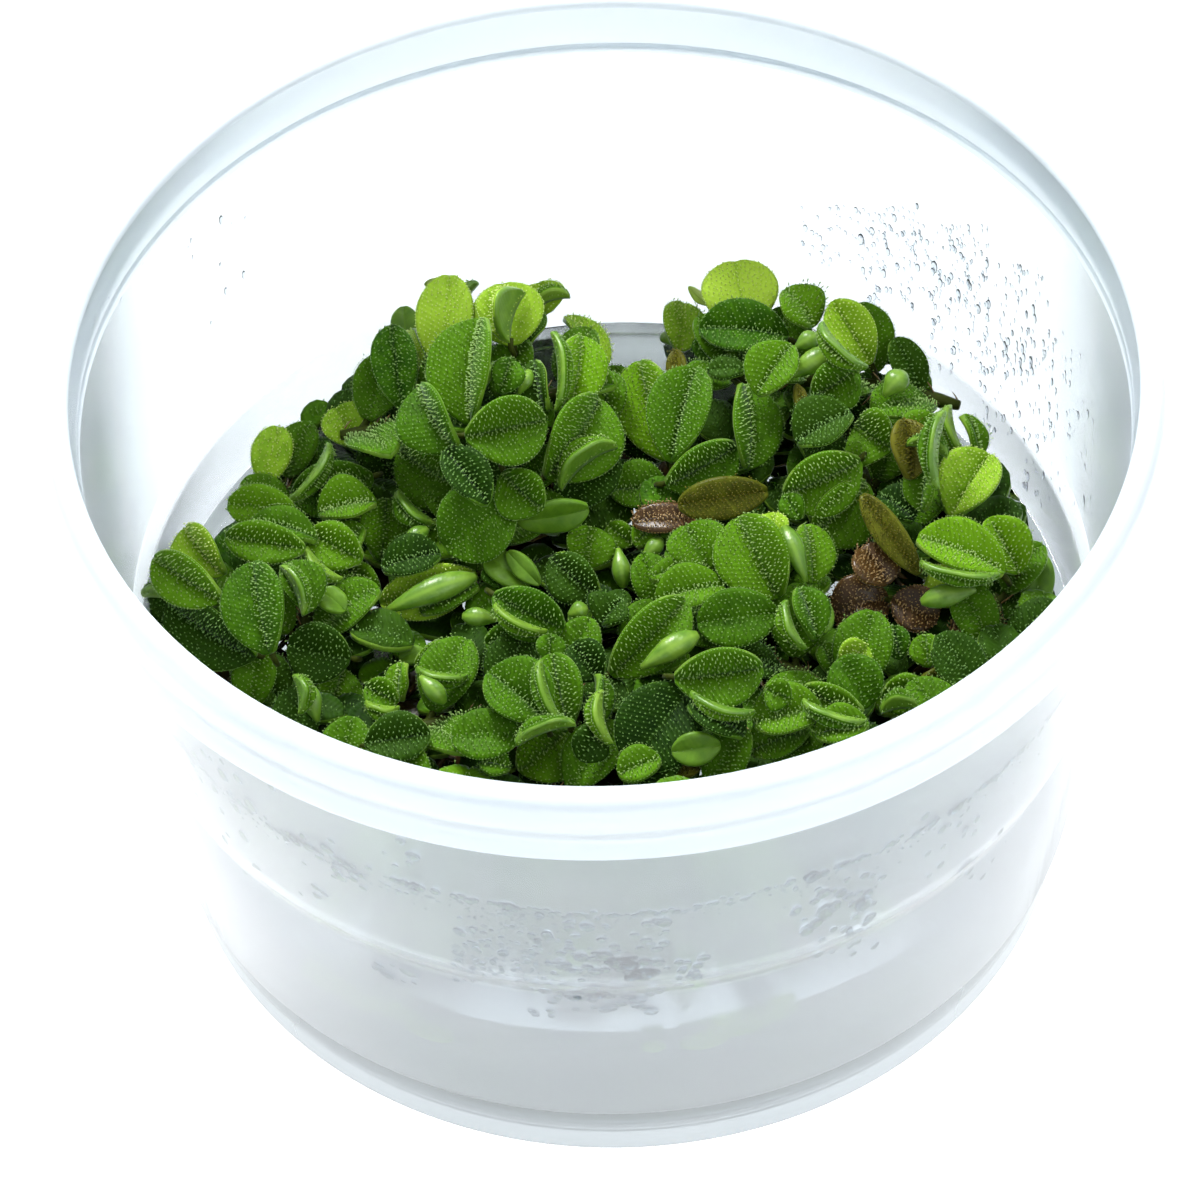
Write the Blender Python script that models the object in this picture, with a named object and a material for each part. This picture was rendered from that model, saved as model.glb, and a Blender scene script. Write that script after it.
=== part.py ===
"""Floating salvinia in the translucent cup that it is grown and sold in.

The cup stands on z = 0 with its axis on the Z axis. It holds a shallow layer of water, and on the
water floats a heap of small salvinia plants. Each plant has a creeping rhizome, tufts of hanging
roots and small leaves, which are fused to it. The large leaves on top are pieces of their own.

The large leaves were read off a photograph: each is given by the two ends of its midrib in the
picture, and the eye below turns a pixel into a place in the cup. A leaf then slides along its line
of sight until it rests on what lies under it, so it keeps its place in the picture.
"""
import bpy
import bmesh
import math
from collections import namedtuple
from mathutils import Matrix, Vector
from mathutils.bvhtree import BVHTree

MM = 0.001
GAP = 0.35 * MM              # air between two pieces that touch

# The cup: a thin tapered wall with a stacking shoulder, under a hooked rim
CUP_HEIGHT = 63.7 * MM
CUP_SIDES = 40
WALL = 1.0 * MM
FOOT_RADIUS = 45.1 * MM      # outside, where the cup stands
FOOT_WIDTH = 1.6 * MM
FOOT_RECESS = 2.0 * MM       # how far the floor's underside stands off the table
FLOOR = FOOT_RECESS + WALL    # height of the floor's upper side
FLOOR_FILLET = 3.0 * MM
STEP_HEIGHT = 8.5 * MM       # the foot ends in a small step
STEP_RADIUS = 46.5 * MM
SHOULDER_LOW = 29.0 * MM     # the stacking shoulder, a slanted ledge in the wall
SHOULDER_HIGH = 31.5 * MM
SHOULDER_RADIUS = 48.2 * MM
LOWER_DRAFT = 0.5            # of the way out from step to shoulder that the lower wall leans
NECK_RADIUS = 50.3 * MM      # outside, just under the rim
RIM_BOTTOM = 56.1 * MM
RIM_RADIUS = 53.0 * MM       # outside of the hooked rim
MOUTH_RADIUS = 50.0 * MM     # inside edge of the mouth

WATER_LEVEL = 21.0 * MM
MENISCUS = 0.9 * MM

# The plants
LEAF_THICKNESS = 0.8 * MM
BLUNT_END = 0.15             # of a leaf's width, at its two ends
POD_THICKNESS = 0.8          # of a rolled leaf's width
STALK_WIDTH = 1.0 * MM
STALK_LENGTH = 1.6 * MM
POD_SIDES = 6
RHIZOME_RADIUS = 0.85 * MM
RHIZOME_LENGTH = 24.0 * MM
RHIZOME_STEPS = 4
TUBE_SIDES = 5
ROOT_RADIUS = 1.6 * MM
ROOT_LENGTH = 10.0 * MM
PIT_CLEARANCE = 0.5 * MM     # of the water around a tuft of roots
PLANT_LEAF = (8.0 * MM, 6.6 * MM)    # length and width of the leaves that are fused to a plant
PLANT_LEAF_FOLD = 16         # degrees that each half rises
SPREAD = 62                  # degrees between the rhizome and the leaves of its oldest pair
LEAST_RISE = 24              # degrees above the water
YOUNGER = 0.08               # how much smaller each pair is than the one before
SLIDE_STEP = 0.3 * MM
SLIDE_DOWN = 10              # most steps away from the eye
SLIDE_UP = 45                # most steps towards the eye

# The eye that the photograph was taken with, for a picture of 1200 x 1200 pixels
PICTURE_CENTRE = 600.0
FOCAL_PIXELS = 4800.0
EYE_DISTANCE = 513.5 * MM
EYE_ELEVATION = math.radians(49.12)
EYE_ROLL = math.radians(2.61)
EYE_TARGET = Vector((-1.24, 26.0, 0.0)) * MM
BACK = Vector((0.0, -math.cos(EYE_ELEVATION), math.sin(EYE_ELEVATION)))
RIGHT = Vector((1.0, 0.0, 0.0))
UP = BACK.cross(RIGHT)
EYE = EYE_TARGET + BACK * EYE_DISTANCE
USUAL_LEAN = 12.0            # degrees that most leaves look further up than to the eye

Mound = namedtuple("Mound", "u v radius height")
Mound.__doc__ = "A rise of the heap's surface: its middle and radius in pixels, its height in mm."
HEAP_LEVEL = 27.0            # mm above the table, where no mound is
MOUNDS = (
    Mound(490, 360, 110, 11), Mound(790, 350, 120, 10), Mound(930, 470, 90, 6),
    Mound(240, 560, 110, 5), Mound(740, 600, 110, 4), Mound(520, 700, 90, 3.5),
    Mound(790, 720, 100, 3), Mound(620, 555, 60, -4), Mound(430, 660, 60, -4),
    Mound(880, 620, 60, -4), Mound(650, 320, 40, -8),
)

Leaf = namedtuple("Leaf", "u0 v0 u1 v1 width turn lean fold kind")
Leaf.__doc__ = """A large leaf: the pixels of its base and of its tip, and its width in mm. turn and
lean say how many degrees its face looks to the picture's right and to its top, away from where
most leaves look. fold is how far each half rises from flat, in degrees. kind is its finish: a leaf
is light, mid or dark green, under shows its underside, pod is still rolled up, and olive and brown
are old."""

# The large leaves, from the deepest to the highest of each part of the heap
LEAVES = (
    # Back left dome
    Leaf(443, 368, 450, 277, 5.8, -5, 0, 10, "light"),
    Leaf(514, 346, 503, 285, 7.2, 0, 0, 8, "light"),
    Leaf(404, 408, 393, 327, 4.6, -15, 0, 15, "mid"),
    Leaf(570, 412, 582, 338, 5.4, 10, 0, 18, "light"),
    Leaf(508, 343, 524, 292, 3.6, 0, 0, 0, "pod"),
    Leaf(466, 425, 478, 320, 7.4, -8, 0, 16, "mid"),
    Leaf(550, 482, 602, 402, 7.4, 8, 0, 14, "mid"),
    Leaf(455, 455, 418, 390, 5.8, -12, 0, 22, "mid"),
    Leaf(466, 442, 546, 425, 6.4, 5, 5, 18, "mid"),
    Leaf(515, 518, 588, 507, 3.8, 0, -45, 8, "olive"),
    Leaf(512, 500, 446, 548, 8.0, -5, -5, 10, "mid"),
    Leaf(478, 498, 398, 452, 6.0, -10, -10, 15, "mid"),
    Leaf(500, 476, 540, 513, 5.0, 5, 0, 22, "mid"),
    # Back right mound
    Leaf(745, 330, 735, 263, 7.8, 0, 5, 8, "light"),
    Leaf(788, 338, 699, 330, 5.8, 0, 5, 15, "mid"),
    Leaf(664, 462, 638, 362, 6.2, -4, 0, 20, "light"),
    Leaf(666, 462, 692, 368, 6.2, 10, 0, 22, "mid"),
    Leaf(745, 385, 750, 470, 5.6, 12, 0, 12, "mid"),
    Leaf(668, 492, 610, 490, 5.4, 0, 0, 12, "mid"),
    Leaf(668, 488, 738, 448, 5.2, 0, -10, 18, "mid"),
    Leaf(868, 366, 830, 303, 4.8, 12, 0, 22, "light"),
    Leaf(786, 378, 838, 350, 2.6, 0, 0, 0, "pod"),
    Leaf(858, 372, 813, 402, 5.0, 0, 0, 22, "mid"),
    Leaf(892, 452, 856, 428, 6.2, -15, 0, 15, "mid"),
    Leaf(946, 515, 985, 453, 5.8, 12, 0, 26, "light"),
    Leaf(868, 485, 812, 540, 6.4, 8, -10, 18, "mid"),
    Leaf(862, 465, 785, 500, 6.2, 0, -5, 20, "mid"),
    # Right
    Leaf(1015, 575, 985, 520, 5.2, 22, 0, 18, "light"),
    Leaf(1005, 572, 918, 538, 5.6, 0, 5, 15, "light"),
    Leaf(888, 598, 832, 616, 6.2, 0, 0, 10, "brown"),
    Leaf(892, 600, 938, 620, 4.8, 0, 0, 8, "brown"),
    # Middle and front
    Leaf(776, 600, 735, 520, 7.2, 0, 0, 15, "mid"),
    Leaf(778, 614, 697, 624, 5.8, 0, -5, 8, "mid"),
    Leaf(614, 678, 688, 602, 5.4, -5, 0, 20, "mid"),
    Leaf(690, 690, 630, 766, 8.2, 0, 0, 10, "dark"),
    Leaf(675, 683, 763, 672, 5.4, 0, 0, 22, "mid"),
    Leaf(478, 578, 380, 606, 5.2, 0, 0, 18, "light"),
    Leaf(492, 598, 562, 632, 5.0, 5, 0, 18, "mid"),
    Leaf(566, 728, 550, 655, 5.2, 5, 0, 18, "mid"),
    Leaf(548, 722, 490, 672, 6.8, 0, 0, 14, "mid"),
    # Left
    Leaf(374, 480, 292, 500, 5.6, 0, 0, 16, "mid"),
    Leaf(255, 660, 168, 605, 6.4, -10, -10, 18, "dark"),
    Leaf(222, 604, 155, 560, 4.8, -10, 0, 20, "mid"),
    Leaf(268, 655, 252, 564, 6.4, -5, 0, 12, "mid"),
    Leaf(350, 660, 288, 645, 5.8, 0, -5, 10, "dark"),
    Leaf(365, 745, 430, 735, 5.0, 0, 0, 12, "dark"),
)

Plant = namedtuple("Plant", "x y z heading bend roots")
Plant.__doc__ = """A plant: the middle of its rhizome in mm, the rhizome's heading and how far it
bends along its length in degrees, and its number of root tufts."""
PLANTS = (
    Plant(-31, 12, 23.4, 100, 30, 1), Plant(-30, -17, 23.4, 130, -25, 1),
    Plant(-9, -8, 23.4, 20, 30, 1), Plant(-12, -35, 23.4, 165, -25, 1),
    Plant(20, -34, 23.4, 30, 20, 1), Plant(37, -8, 23.4, 80, 30, 1),
    Plant(15, -3, 23.4, 150, 25, 1), Plant(-9, 23, 23.4, 60, -30, 1),
    Plant(26, 22, 23.4, 110, 30, 1), Plant(4, -21, 23.4, 5, 30, 1),
    Plant(-15, 25, 30.0, 15, 25, 0), Plant(25, 28, 30.0, 170, 25, 0),
)
ROOT_SHARES = (0.02, 0.35)      # of the rhizome's length, where root tufts hang
PAIR_PLACES = (-0.42, -0.14, 0.16, 0.45)     # of the rhizome's length, where leaves grow in pairs

# Colours and roughness by finish, linear
FINISHES = {
    "cup": ((0.80, 0.86, 0.90), 0.25),
    "water": ((0.62, 0.72, 0.74), 0.08),
    "plant": ((0.07, 0.20, 0.02), 0.55),
    "light": ((0.22, 0.45, 0.04), 0.50),
    "mid": ((0.07, 0.25, 0.02), 0.55),
    "dark": ((0.03, 0.13, 0.02), 0.60),
    "under": ((0.30, 0.52, 0.06), 0.35),
    "pod": ((0.28, 0.50, 0.05), 0.35),
    "olive": ((0.16, 0.20, 0.02), 0.40),
    "brown": ((0.16, 0.07, 0.02), 0.80),
}


def clear_scene():
    """Remove the objects of the start-up scene."""
    for obj in list(bpy.data.objects):
        bpy.data.objects.remove(obj, do_unlink=True)


def material(name, finish):
    """A Principled material of the given finish, one for each piece."""
    colour, roughness = FINISHES[finish]
    made = bpy.data.materials.new(name)
    made.use_nodes = True
    shader = made.node_tree.nodes["Principled BSDF"]
    shader.inputs["Base Color"].default_value = (*colour, 1.0)
    shader.inputs["Roughness"].default_value = roughness
    shader.inputs["Metallic"].default_value = 0.0
    return made


def add_object(name, mesh, finish=None):
    """Link a mesh to the scene as an object."""
    obj = bpy.data.objects.new(name, mesh)
    bpy.context.scene.collection.objects.link(obj)
    if finish:
        mesh.materials.clear()
        mesh.materials.append(material(name, finish))
        mesh.shade_smooth()
        mesh.set_sharp_from_angle(angle=math.radians(40))
    return obj


def mesh_from(bm, name):
    """Turn a bmesh into a mesh with its faces pointing out, and free it."""
    bmesh.ops.recalc_face_normals(bm, faces=bm.faces)
    mesh = bpy.data.meshes.new(name)
    bm.to_mesh(mesh)
    bm.free()
    return mesh


def skin(bm, rings):
    """Join rings of points, each a list of equal length, by strips of faces, with closed ends."""
    rows = [[bm.verts.new(point) for point in ring] for ring in rings]
    for low, high in zip(rows, rows[1:]):
        for i in range(len(low)):
            j = (i + 1) % len(low)
            bm.faces.new((low[i], low[j], high[j], high[i]))
    bm.faces.new(rows[0][::-1])
    bm.faces.new(rows[-1])


def turned(name, profile, sides=CUP_SIDES):
    """Turn a closed profile of (radius, height) points about the Z axis."""
    bm = bmesh.new()
    outline = [bm.verts.new((radius, 0.0, height)) for radius, height in profile]
    edges = [bm.edges.new((a, b)) for a, b in zip(outline, outline[1:] + outline[:1])]
    bmesh.ops.spin(bm, geom=outline + edges, cent=(0, 0, 0), axis=(0, 0, 1), dvec=(0, 0, 0),
                   angle=math.tau, steps=sides, use_merge=True)
    bmesh.ops.remove_doubles(bm, verts=bm.verts, dist=0.01 * MM)
    return mesh_from(bm, name)


def tube(name, points, radii, sides=TUBE_SIDES):
    """A closed tube along some points, with its own radius at each."""
    bm = bmesh.new()
    rings = []
    for i, (point, radius) in enumerate(zip(points, radii)):
        along = points[min(i + 1, len(points) - 1)] - points[max(i - 1, 0)]
        turn = along.to_track_quat("Z", "Y")
        ring = [point + turn @ Vector((math.cos(a), math.sin(a), 0)) * radius
                for a in (math.tau * k / sides for k in range(sides))]
        rings.append(ring)
    skin(bm, rings)
    return mesh_from(bm, name)


def wall_radius(height):
    """The cup's inner radius at a height."""
    if height < SHOULDER_LOW:
        share = (height - STEP_HEIGHT) / (SHOULDER_LOW - STEP_HEIGHT)
        outer = STEP_RADIUS + (SHOULDER_RADIUS - STEP_RADIUS) * LOWER_DRAFT * share
    else:
        share = (height - SHOULDER_HIGH) / (RIM_BOTTOM - SHOULDER_HIGH)
        outer = SHOULDER_RADIUS + (NECK_RADIUS - SHOULDER_RADIUS) * share
    return outer - WALL


def make_cup():
    """The cup: its profile goes up the outside and down the inside."""
    low = wall_radius(SHOULDER_LOW - 0.01 * MM) + WALL
    corner = STEP_RADIUS - WALL
    profile = [
        (FOOT_RADIUS - FOOT_WIDTH, 0.0),
        (FOOT_RADIUS, 0.0),
        (STEP_RADIUS - 0.7 * MM, STEP_HEIGHT - 0.6 * MM),
        (STEP_RADIUS, STEP_HEIGHT),
        (low, SHOULDER_LOW),
        (SHOULDER_RADIUS, SHOULDER_HIGH),
        (NECK_RADIUS, RIM_BOTTOM + 1.6 * MM),
        (RIM_RADIUS - WALL, RIM_BOTTOM + 1.0 * MM),
        (RIM_RADIUS - WALL, RIM_BOTTOM),
        (RIM_RADIUS, RIM_BOTTOM),
        (RIM_RADIUS - 0.4 * MM, CUP_HEIGHT - 1.4 * MM),
        (RIM_RADIUS - 1.6 * MM, CUP_HEIGHT),
        (MOUTH_RADIUS + 0.9 * MM, CUP_HEIGHT),
        (MOUTH_RADIUS, CUP_HEIGHT - 1.2 * MM),
        (SHOULDER_RADIUS - WALL, SHOULDER_HIGH),
        (low - WALL, SHOULDER_LOW),
        (corner, FLOOR + FLOOR_FILLET),
        (corner - FLOOR_FILLET, FLOOR),
        (0.0, FLOOR),
        (0.0, FOOT_RECESS),
    ]
    return add_object("cup", turned("cup", profile), "cup")


def make_water(plants):
    """The water: it fills the cup to its level, with a pit around each tuft of roots."""
    edge = wall_radius(WATER_LEVEL) - GAP
    corner = STEP_RADIUS - WALL - GAP
    profile = [
        (0.0, FLOOR + GAP),
        (corner - FLOOR_FILLET, FLOOR + GAP),
        (corner, FLOOR + FLOOR_FILLET + GAP),
        (edge, WATER_LEVEL + MENISCUS),
        (edge - 0.3 * MM, WATER_LEVEL + MENISCUS),
        (edge - 1.6 * MM, WATER_LEVEL),
        (0.0, WATER_LEVEL),
    ]
    water = add_object("water", turned("water", profile), "water")
    for plant in plants:
        for place in root_places(plant):
            top = Vector((place.x, place.y, WATER_LEVEL + MM))
            pit = tube("pit", root_points(top, ROOT_LENGTH + 1.2 * MM), root_radii(PIT_CLEARANCE))
            cut(water, pit, "DIFFERENCE")
    return water


def cut(obj, mesh, operation):
    """Take a mesh off an object, or add it, and keep only the result."""
    other = add_object("operand", mesh)
    modifier = obj.modifiers.new("boolean", "BOOLEAN")
    modifier.operation = operation
    modifier.solver = "EXACT"
    modifier.object = other
    result = bpy.data.meshes.new_from_object(obj.evaluated_get(bpy.context.evaluated_depsgraph_get()))
    obj.modifiers.clear()
    kept = list(obj.data.materials)
    obj.data = result
    obj.data.materials.clear()
    for slot in kept:
        obj.data.materials.append(slot)
    bpy.data.objects.remove(other, do_unlink=True)


def sight(u, v):
    """The direction in which the eye sees a pixel."""
    right, up = u - PICTURE_CENTRE, PICTURE_CENTRE - v
    c, s = math.cos(EYE_ROLL), math.sin(EYE_ROLL)
    right, up = right * c + up * s, up * c - right * s
    return (RIGHT * right + UP * up) / FOCAL_PIXELS - BACK


def at_height(u, v, height):
    """The point at a height that the eye sees at a pixel."""
    ray = sight(u, v)
    return EYE + ray * ((height - EYE.z) / ray.z)


def on_plane(u, v, point, normal):
    """The point of a plane that the eye sees at a pixel."""
    ray = sight(u, v)
    return EYE + ray * ((point - EYE).dot(normal) / ray.dot(normal))


def heap_height(u, v):
    """The height of the heap's surface at a pixel."""
    total = HEAP_LEVEL
    for mound in MOUNDS:
        distance = math.hypot(u - mound.u, v - mound.v) / mound.radius
        total += mound.height * math.exp(-distance * distance)
    return total * MM


def leaf_matrix(leaf):
    """Where a leaf lies: its base, with X across it, Y to its tip and Z off its face, and its
    length."""
    lean = math.radians(USUAL_LEAN + leaf.lean)
    turn = math.radians(leaf.turn)
    normal = BACK * math.cos(lean) * math.cos(turn) + RIGHT * math.sin(turn)
    normal += UP * math.sin(lean) * math.cos(turn)
    middle = ((leaf.u0 + leaf.u1) / 2, (leaf.v0 + leaf.v1) / 2)
    centre = at_height(*middle, heap_height(*middle))
    base = on_plane(leaf.u0, leaf.v0, centre, normal)
    tip = on_plane(leaf.u1, leaf.v1, centre, normal)
    along = (tip - base).normalized()
    return frame_of(base, along, normal), (tip - base).length


def frame_of(base, along, normal):
    """A matrix with Y along a leaf and Z off its face."""
    across = along.cross(normal).normalized()
    normal = across.cross(along)
    frame = Matrix((across, along, normal)).transposed().to_4x4()
    frame.translation = base
    return frame


def blade_half_width(share):
    """Half of a leaf's width, as a share of the whole, at a share of its length."""
    return 0.5 * max(math.sin(math.pi * share ** 0.9), 0.0) ** 0.55


def blade(name, length, width, fold, stations):
    """A leaf with its base at the origin: two halves that rise from the midrib and thin out to the
    edge, arched along the midrib, on a short stalk."""
    bm = bmesh.new()
    rise = math.radians(fold)
    arch = 0.10 * length
    rings = []
    for share in stations:
        half = max(blade_half_width(share), BLUNT_END) * width
        y = share * length
        z = arch * (1 - (2 * share - 1) ** 2)
        out, up = half * math.cos(rise), half * math.sin(rise)
        rings.append([(-out, y, z + up), (0, y, z - LEAF_THICKNESS / 2),
                      (out, y, z + up), (0, y, z + LEAF_THICKNESS / 2)])
    out, lift = STALK_WIDTH / 2, STALK_WIDTH / 2
    foot = [(-out, -STALK_LENGTH, 0), (0, -STALK_LENGTH, -lift), (out, -STALK_LENGTH, 0),
            (0, -STALK_LENGTH, lift)]
    skin(bm, [foot] + rings)
    bmesh.ops.triangulate(bm, faces=bm.faces)
    return mesh_from(bm, name)


def pod(name, length, width):
    """A young leaf, still rolled up: a smooth spindle on its stalk."""
    sections = ((0.0, 0.35), (0.2, 0.8), (0.45, 1.0), (0.75, 0.8), (1.0, 0.2))
    bm = bmesh.new()
    rings = []
    for share, size in sections:
        ring = []
        for k in range(POD_SIDES):
            angle = math.tau * k / POD_SIDES
            x = math.cos(angle) * size * width / 2
            z = math.sin(angle) * size * width * POD_THICKNESS / 2
            ring.append((x, share * length, z))
        rings.append(ring)
    skin(bm, rings)
    bmesh.ops.triangulate(bm, faces=bm.faces)
    return mesh_from(bm, name)


def world_tree(mesh, matrix, grow=0.0):
    """A search tree of a mesh's faces in the world, grown outwards by some distance."""
    points = [matrix @ (vertex.co + vertex.normal * grow) for vertex in mesh.vertices]
    faces = [tuple(face.vertices) for face in mesh.polygons]
    return BVHTree.FromPolygons(points, faces)


class Heap:
    """What has been placed so far, to keep the next piece clear of it."""

    def __init__(self):
        self.trees = []

    def add(self, obj):
        self.trees.append(world_tree(obj.data, obj.matrix_world))

    def touches(self, mesh, matrix):
        tree = world_tree(mesh, matrix, grow=1.35 * GAP)
        return any(other.overlap(tree) for other in self.trees)

    def settle(self, mesh, matrix, towards):
        """Slide a piece away from the eye until it lies on something, or back until it is clear."""
        step = Matrix.Translation(towards * SLIDE_STEP)
        if self.touches(mesh, matrix):
            for _ in range(SLIDE_UP):
                matrix = step @ matrix
                if not self.touches(mesh, matrix):
                    return matrix
            return None
        for _ in range(SLIDE_DOWN):
            lower = step.inverted() @ matrix
            if self.touches(mesh, lower):
                break
            matrix = lower
        return matrix


def rhizome_points(plant):
    """The bent line of a plant's rhizome."""
    points = []
    place = Vector((0, 0, 0))
    for i in range(RHIZOME_STEPS + 1):
        points.append(place.copy())
        angle = math.radians(plant.heading + plant.bend * (i / RHIZOME_STEPS - 0.5))
        place += Vector((math.cos(angle), math.sin(angle), 0)) * RHIZOME_LENGTH / RHIZOME_STEPS
    middle = points[RHIZOME_STEPS // 2]
    return [point - middle + Vector((plant.x, plant.y, plant.z)) * MM for point in points]


def along_rhizome(plant, share):
    """The point and heading at a share of the rhizome's length, from -0.5 to 0.5."""
    points = rhizome_points(plant)
    place = (share + 0.5) * (len(points) - 1)
    i = min(int(place), len(points) - 2)
    point = points[i].lerp(points[i + 1], place - i)
    return point, (points[i + 1] - points[i]).normalized()


def root_places(plant):
    """Where a plant's root tufts hang from its rhizome."""
    return [along_rhizome(plant, share)[0] for share in ROOT_SHARES[:plant.roots]]


def root_points(top, length):
    return [top, top - Vector((0, 0, length * 0.4)), top - Vector((0, 0, length))]


def root_radii(extra=0.0):
    return [ROOT_RADIUS * 0.55 + extra, ROOT_RADIUS + extra, ROOT_RADIUS * 0.4 + extra]


def make_plant(name, plant, heap):
    """A plant in one piece: rhizome, root tufts, and the small leaves that find room."""
    points = rhizome_points(plant)
    radii = [RHIZOME_RADIUS * (1.0 if 0 < i < len(points) - 1 else 0.6) for i in range(len(points))]
    obj = add_object(name, tube(name, points, radii), "plant")
    for place in root_places(plant):
        cut(obj, tube("roots", root_points(place, ROOT_LENGTH), root_radii()), "UNION")
    length, width = PLANT_LEAF
    for i, share in enumerate(PAIR_PLACES):
        point, heading = along_rhizome(plant, share)
        side = heading.cross(Vector((0, 0, 1)))
        for sign in (-1, 1):
            spread = math.radians(SPREAD - 7 * i + 6 * sign)
            rise = math.radians(LEAST_RISE + 7 * ((i + (sign > 0)) % 3))
            flat = heading * math.cos(spread) + side * sign * math.sin(spread)
            along = flat * math.cos(rise) + Vector((0, 0, math.sin(rise)))
            normal = Vector((0, 0, math.cos(rise))) - flat * math.sin(rise)
            size = 1.0 - YOUNGER * i
            base = point + flat * RHIZOME_RADIUS * 0.9 + along * STALK_LENGTH * 0.6
            mesh = blade("small", length * size, width * size, PLANT_LEAF_FOLD, (0.25, 0.65, 1.0))
            mesh.transform(frame_of(base, along, normal))
            if not heap.touches(mesh, Matrix()):
                cut(obj, mesh, "UNION")
    return obj


def make_leaf(name, leaf, heap):
    """A large leaf, slid along its line of sight to where it rests."""
    matrix, length = leaf_matrix(leaf)
    width = leaf.width * MM
    if leaf.kind == "pod":
        mesh = pod(name, length, width)
    else:
        mesh = blade(name, length, width, leaf.fold, (0.0, 0.2, 0.52, 0.84, 1.0))
    towards = (EYE - matrix.translation).normalized()
    place = heap.settle(mesh, matrix, towards)
    if place is None:
        raise ValueError(f"{name} finds no room in the heap")
    mesh.transform(place)
    return add_object(name, mesh, leaf.kind)


def main():
    clear_scene()
    cup = make_cup()
    water = make_water(PLANTS)
    heap = Heap()
    heap.add(cup)
    heap.add(water)
    for number, plant in enumerate(PLANTS, 1):
        heap.add(make_plant(f"plant_{number:02d}", plant, heap))
    for number, leaf in enumerate(LEAVES, 1):
        heap.add(make_leaf(f"leaf_{number:02d}", leaf, heap))


main()
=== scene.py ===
# %% [markdown]
# # Salvinia in a culture cup
# A translucent plastic cup holds a little water, and on the water floats a heap of small salvinia
# plants. The solids of the cup, the water, the plants and the large leaves are already there at
# their real size, so this lesson only dresses them: it models each thing finely where its solid
# is, and gives it the finish of the real one. Everything is in metres, with the cup standing on
# z = 0, so a size in millimetres is written with MM.

# %% Load the frame
import bpy
import math
import numpy as np
from collections import namedtuple
from mathutils import Matrix, Vector
from mathutils.bvhtree import BVHTree


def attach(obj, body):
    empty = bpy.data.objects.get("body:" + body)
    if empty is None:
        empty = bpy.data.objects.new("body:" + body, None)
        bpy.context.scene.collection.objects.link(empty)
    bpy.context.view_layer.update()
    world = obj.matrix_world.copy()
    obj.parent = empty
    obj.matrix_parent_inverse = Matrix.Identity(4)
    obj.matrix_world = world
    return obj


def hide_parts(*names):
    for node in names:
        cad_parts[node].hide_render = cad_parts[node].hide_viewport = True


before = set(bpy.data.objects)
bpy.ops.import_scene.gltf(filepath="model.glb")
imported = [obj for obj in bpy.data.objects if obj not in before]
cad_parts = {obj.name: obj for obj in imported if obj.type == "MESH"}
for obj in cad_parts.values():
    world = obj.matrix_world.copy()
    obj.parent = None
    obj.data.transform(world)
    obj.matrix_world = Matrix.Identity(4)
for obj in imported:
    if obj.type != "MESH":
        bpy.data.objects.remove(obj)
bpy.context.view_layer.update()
MM = 0.001

# %% [markdown]
# ## The eye
# The leaves were read off a photograph of 1200 x 1200 pixels, so the eye that took it comes first.
# Its height and lean follow from the ellipses that the rim and the foot of the cup make in the
# picture. The same eye turns a pixel into a line of sight when leaves and drops are placed.

# %% The eye and the camera
PICTURE = 1200.0
FOCAL_PIXELS = 4800.0
SENSOR_WIDTH = 36.0  # mm, the usual full frame
EYE_DISTANCE = 513.5 * MM
EYE_ELEVATION = math.radians(49.12)
EYE_ROLL = math.radians(2.61)
EYE_TARGET = Vector((-1.24, 26.0, 0.0)) * MM
BACK = Vector((0.0, -math.cos(EYE_ELEVATION), math.sin(EYE_ELEVATION)))
RIGHT = Vector((1.0, 0.0, 0.0))
UP = BACK.cross(RIGHT)
EYE = EYE_TARGET + BACK * EYE_DISTANCE
EYE_SIDE = RIGHT * math.cos(EYE_ROLL) - UP * math.sin(EYE_ROLL)
EYE_TOP = RIGHT * math.sin(EYE_ROLL) + UP * math.cos(EYE_ROLL)

camera = bpy.data.objects.new("camera", bpy.data.cameras.new("camera"))
bpy.context.scene.collection.objects.link(camera)
bpy.context.scene.camera = camera
camera.data.sensor_width = SENSOR_WIDTH
camera.data.lens = FOCAL_PIXELS / PICTURE * SENSOR_WIDTH
camera.data.clip_start = 0.01
camera.data.clip_end = 20.0
axes = Matrix((EYE_SIDE, EYE_TOP, BACK)).transposed().to_4x4()
camera.matrix_world = Matrix.Translation(EYE) @ axes
print("lens", camera.data.lens, "mm, the eye stands at", EYE / MM)


def sight(u, v):
    """The direction in which the eye sees a pixel of the picture."""
    right, up = u - PICTURE / 2, PICTURE / 2 - v
    return (EYE_SIDE * right + EYE_TOP * up) / FOCAL_PIXELS - BACK


def at_height(u, v, height):
    """The point at a height that the eye sees at a pixel."""
    ray = sight(u, v)
    return EYE + ray * ((height - EYE.z) / ray.z)


def on_plane(u, v, point, normal):
    """The point of a plane that the eye sees at a pixel."""
    ray = sight(u, v)
    return EYE + ray * ((point - EYE).dot(normal) / ray.dot(normal))


# %% [markdown]
# ## Two helpers for materials
# A colour is written as the hex value that a picture shows, in sRGB. Blender's shaders work in
# linear light, so one function turns the one into the other. A second one adds a node with its
# settings and links in one line, which keeps each material short enough to read.

# %% Colours and nodes
def linear(colour):
    """A hex colour as linear red, green, blue and alpha."""
    channels = [int(colour[i:i + 2], 16) / 255 for i in (1, 3, 5)]
    return (*[c / 12.92 if c <= 0.04045 else ((c + 0.055) / 1.055) ** 2.4 for c in channels], 1.0)


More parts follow.
